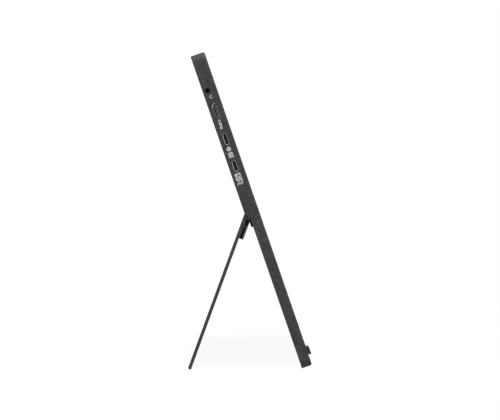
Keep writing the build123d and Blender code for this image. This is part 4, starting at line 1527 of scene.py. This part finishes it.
@dataclass
class Studio:
    """The plain pale floor, the soft light and the camera.

    Attributes:
        floor_size: Side of the floor in metres.
        paint: Colour of the floor.
        keep: Share of the floor's look that is lit, and so can show a shadow.
        fade: Radii in metres between which the floor turns to plain white.
        ambient: Strength of the light from all round.
        distance: How far the camera is from the near side of the display, in metres.
        aim_y: What the middle of the view shows, in metres to the rear.
        aim_z: How high that is, in metres.
        eye_behind: How far the eye is behind the hinge axis, in metres.
        eye_above: How far it is above the hinge axis, in metres.
        lens: Focal length.
        roll: How far the camera is turned about its axis, in degrees.
        lamps: The lamps.
    """

    floor_size: float = 12.0
    paint: str = "#f4f4f4"
    keep: float = 0.05
    fade: tuple[float, float] = (0.35, 0.8)
    ambient: float = 0.55
    distance: float = 1.45
    aim_y: float = -0.00102
    aim_z: float = 0.12235
    eye_behind: float = -0.00067
    eye_above: float = 0.00178
    lens: float = 136.3
    roll: float = -0.5
    lamps: tuple[Lamp, ...] = (
        Lamp("key_lamp", (-1.5, -0.9, 1.7), 1.4, 26.0),
        Lamp("fill_lamp", (-1.3, 1.3, 1.1), 1.6, 14.0),
        Lamp("back_lamp", (1.8, 0.5, 1.5), 1.4, 16.0),
        Lamp("front_lamp", (0.9, -1.9, 1.0), 1.4, 10.0),
        Lamp("top_lamp", (-0.2, 0.0, 2.3), 1.2, 42.0),
    )

    def floor(self) -> None:
        """Lays the floor: pale and lit near the display, plain white further out."""
        bm = bmesh.new()
        bmesh.ops.create_grid(bm, x_segments=8, y_segments=8, size=self.floor_size / 2)
        mesh = bpy.data.meshes.new("studio_floor")
        bm.to_mesh(mesh)
        bm.free()
        set_down("studio_floor", mesh)
        made = bpy.data.materials.new("painted_studio_floor")
        mesh.materials.append(made)
        tree = bare_tree(made)
        place = {0: add_node(tree, "ShaderNodeTexCoord").outputs["Object"]}
        out = add_node(tree, "ShaderNodeVectorMath", place, operation="LENGTH").outputs["Value"]
        limits = {"From Min": self.fade[0], "From Max": self.fade[1], "To Min": 1 - self.keep}
        plain = add_node(
            tree, "ShaderNodeMapRange", {"Value": out, **limits}, interpolation_type="SMOOTHSTEP"
        )
        paint = {"Color": linear(self.paint), "Roughness": 0.6}
        lit = add_node(tree, "ShaderNodeBsdfDiffuse", paint)
        white = add_node(tree, "ShaderNodeEmission", {"Color": linear("#ffffff"), "Strength": 1.0})
        seen = {0: plain, 1: seen_directly(tree)}
        share = add_node(tree, "ShaderNodeMath", seen, operation="MULTIPLY")
        both = add_node(tree, "ShaderNodeMixShader", {0: share, 1: lit, 2: white})
        add_node(tree, "ShaderNodeOutputMaterial", {"Surface": both})

    def world(self) -> None:
        """Makes the surroundings white to the eye and soft as a light."""
        made = bpy.data.worlds.new("studio_surroundings")
        bpy.context.scene.world = made
        tree = bare_tree(made)
        soft, white = [
            add_node(tree, "ShaderNodeBackground", {"Color": linear("#ffffff"), "Strength": power})
            for power in (self.ambient, 1.0)
        ]
        both = add_node(tree, "ShaderNodeMixShader", {0: seen_directly(tree), 1: soft, 2: white})
        add_node(tree, "ShaderNodeOutputWorld", {"Surface": both})

    def light(self) -> None:
        """Hangs the soft square lamps round the display, turned to its middle."""
        middle = (CAD_BOX[0] + CAD_BOX[1]) / 2
        for lamp in self.lamps:
            data = bpy.data.lights.new(lamp.name, "AREA")
            data.shape = "SQUARE"
            data.size = lamp.size
            data.energy = lamp.power
            hung = set_down(lamp.name, data)
            hung.location = lamp.place
            hung.rotation_euler = (middle - hung.location).to_track_quat("-Z", "Y").to_euler()

    def camera(self) -> None:
        """Sets the camera square to the socket side, in line with the seam of the stand."""
        data = bpy.data.cameras.new("camera")
        data.lens = self.lens
        data.clip_start = 0.05
        data.clip_end = 50.0
        camera = set_down("camera", data)
        axis = hinge()[0]
        near = CAD_BOX[0].x - self.distance
        eye = Vector((near, axis.y + self.eye_behind, axis.z + self.eye_above))
        turn = Matrix.Identity(4)
        for degrees, about in ((-90, "Z"), (90, "X"), (self.roll, "Z")):
            turn = turn @ Matrix.Rotation(math.radians(degrees), 4, about)
        camera.matrix_world = Matrix.Translation(eye) @ turn
        view_width = self.distance * data.sensor_width / data.lens
        data.shift_x = (eye.y - self.aim_y) / view_width
        data.shift_y = (self.aim_z - eye.z) / view_width
        bpy.context.scene.camera = camera

    def build(self) -> None:
        """Builds the floor, the surroundings, the lamps and the camera."""
        self.floor()
        self.world()
        self.light()
        self.camera()
        bpy.context.scene.view_settings.view_transform = "Standard"


def seen_directly(tree: bpy.types.NodeTree) -> bpy.types.Node:
    """Tells whether a ray comes from the eye, a reflection or clear material.

    Args:
        tree: The nodes that need to know.

    Returns:
        A node that gives 1 for such a ray and 0 for a ray that only carries light.
    """
    path = add_node(tree, "ShaderNodeLightPath").outputs
    plain = {0: path["Is Camera Ray"], 1: path["Is Glossy Ray"]}
    mirrored = add_node(tree, "ShaderNodeMath", plain, operation="MAXIMUM")
    through = {0: mirrored, 1: path["Is Transmission Ray"]}
    return add_node(tree, "ShaderNodeMath", through, operation="MAXIMUM")


def dress_nodes() -> None:
    """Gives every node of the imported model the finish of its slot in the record."""
    for row in frame["record"]["subparts"]:
        node = frame["nodes"][row["node"]]
        finish = NODE_FINISHES.get(row["node"], SLOT_FINISHES[row["material_slot"]])
        if node.material_slots:
            for held in node.material_slots:
                held.material = finish.material()
        else:
            node.data.materials.append(finish.material())
    LOG.info("dressed %d nodes", len(frame["nodes"]))


def main() -> None:
    """Builds the studio, dresses the nodes and adds every piece, in that order."""
    logging.basicConfig(level=logging.INFO, format="%(name)s: %(message)s")
    Studio().build()
    dress_nodes()
    panel = display_datum()
    PrintedMarks(panel).build()
    SocketDetails(face_datum(panel, Side.SOCKETS)).build()
    ScreenFace(panel).build()
    CoverPlugs(stand_datum(panel)).build()


if __name__ == "__main__":
    main()
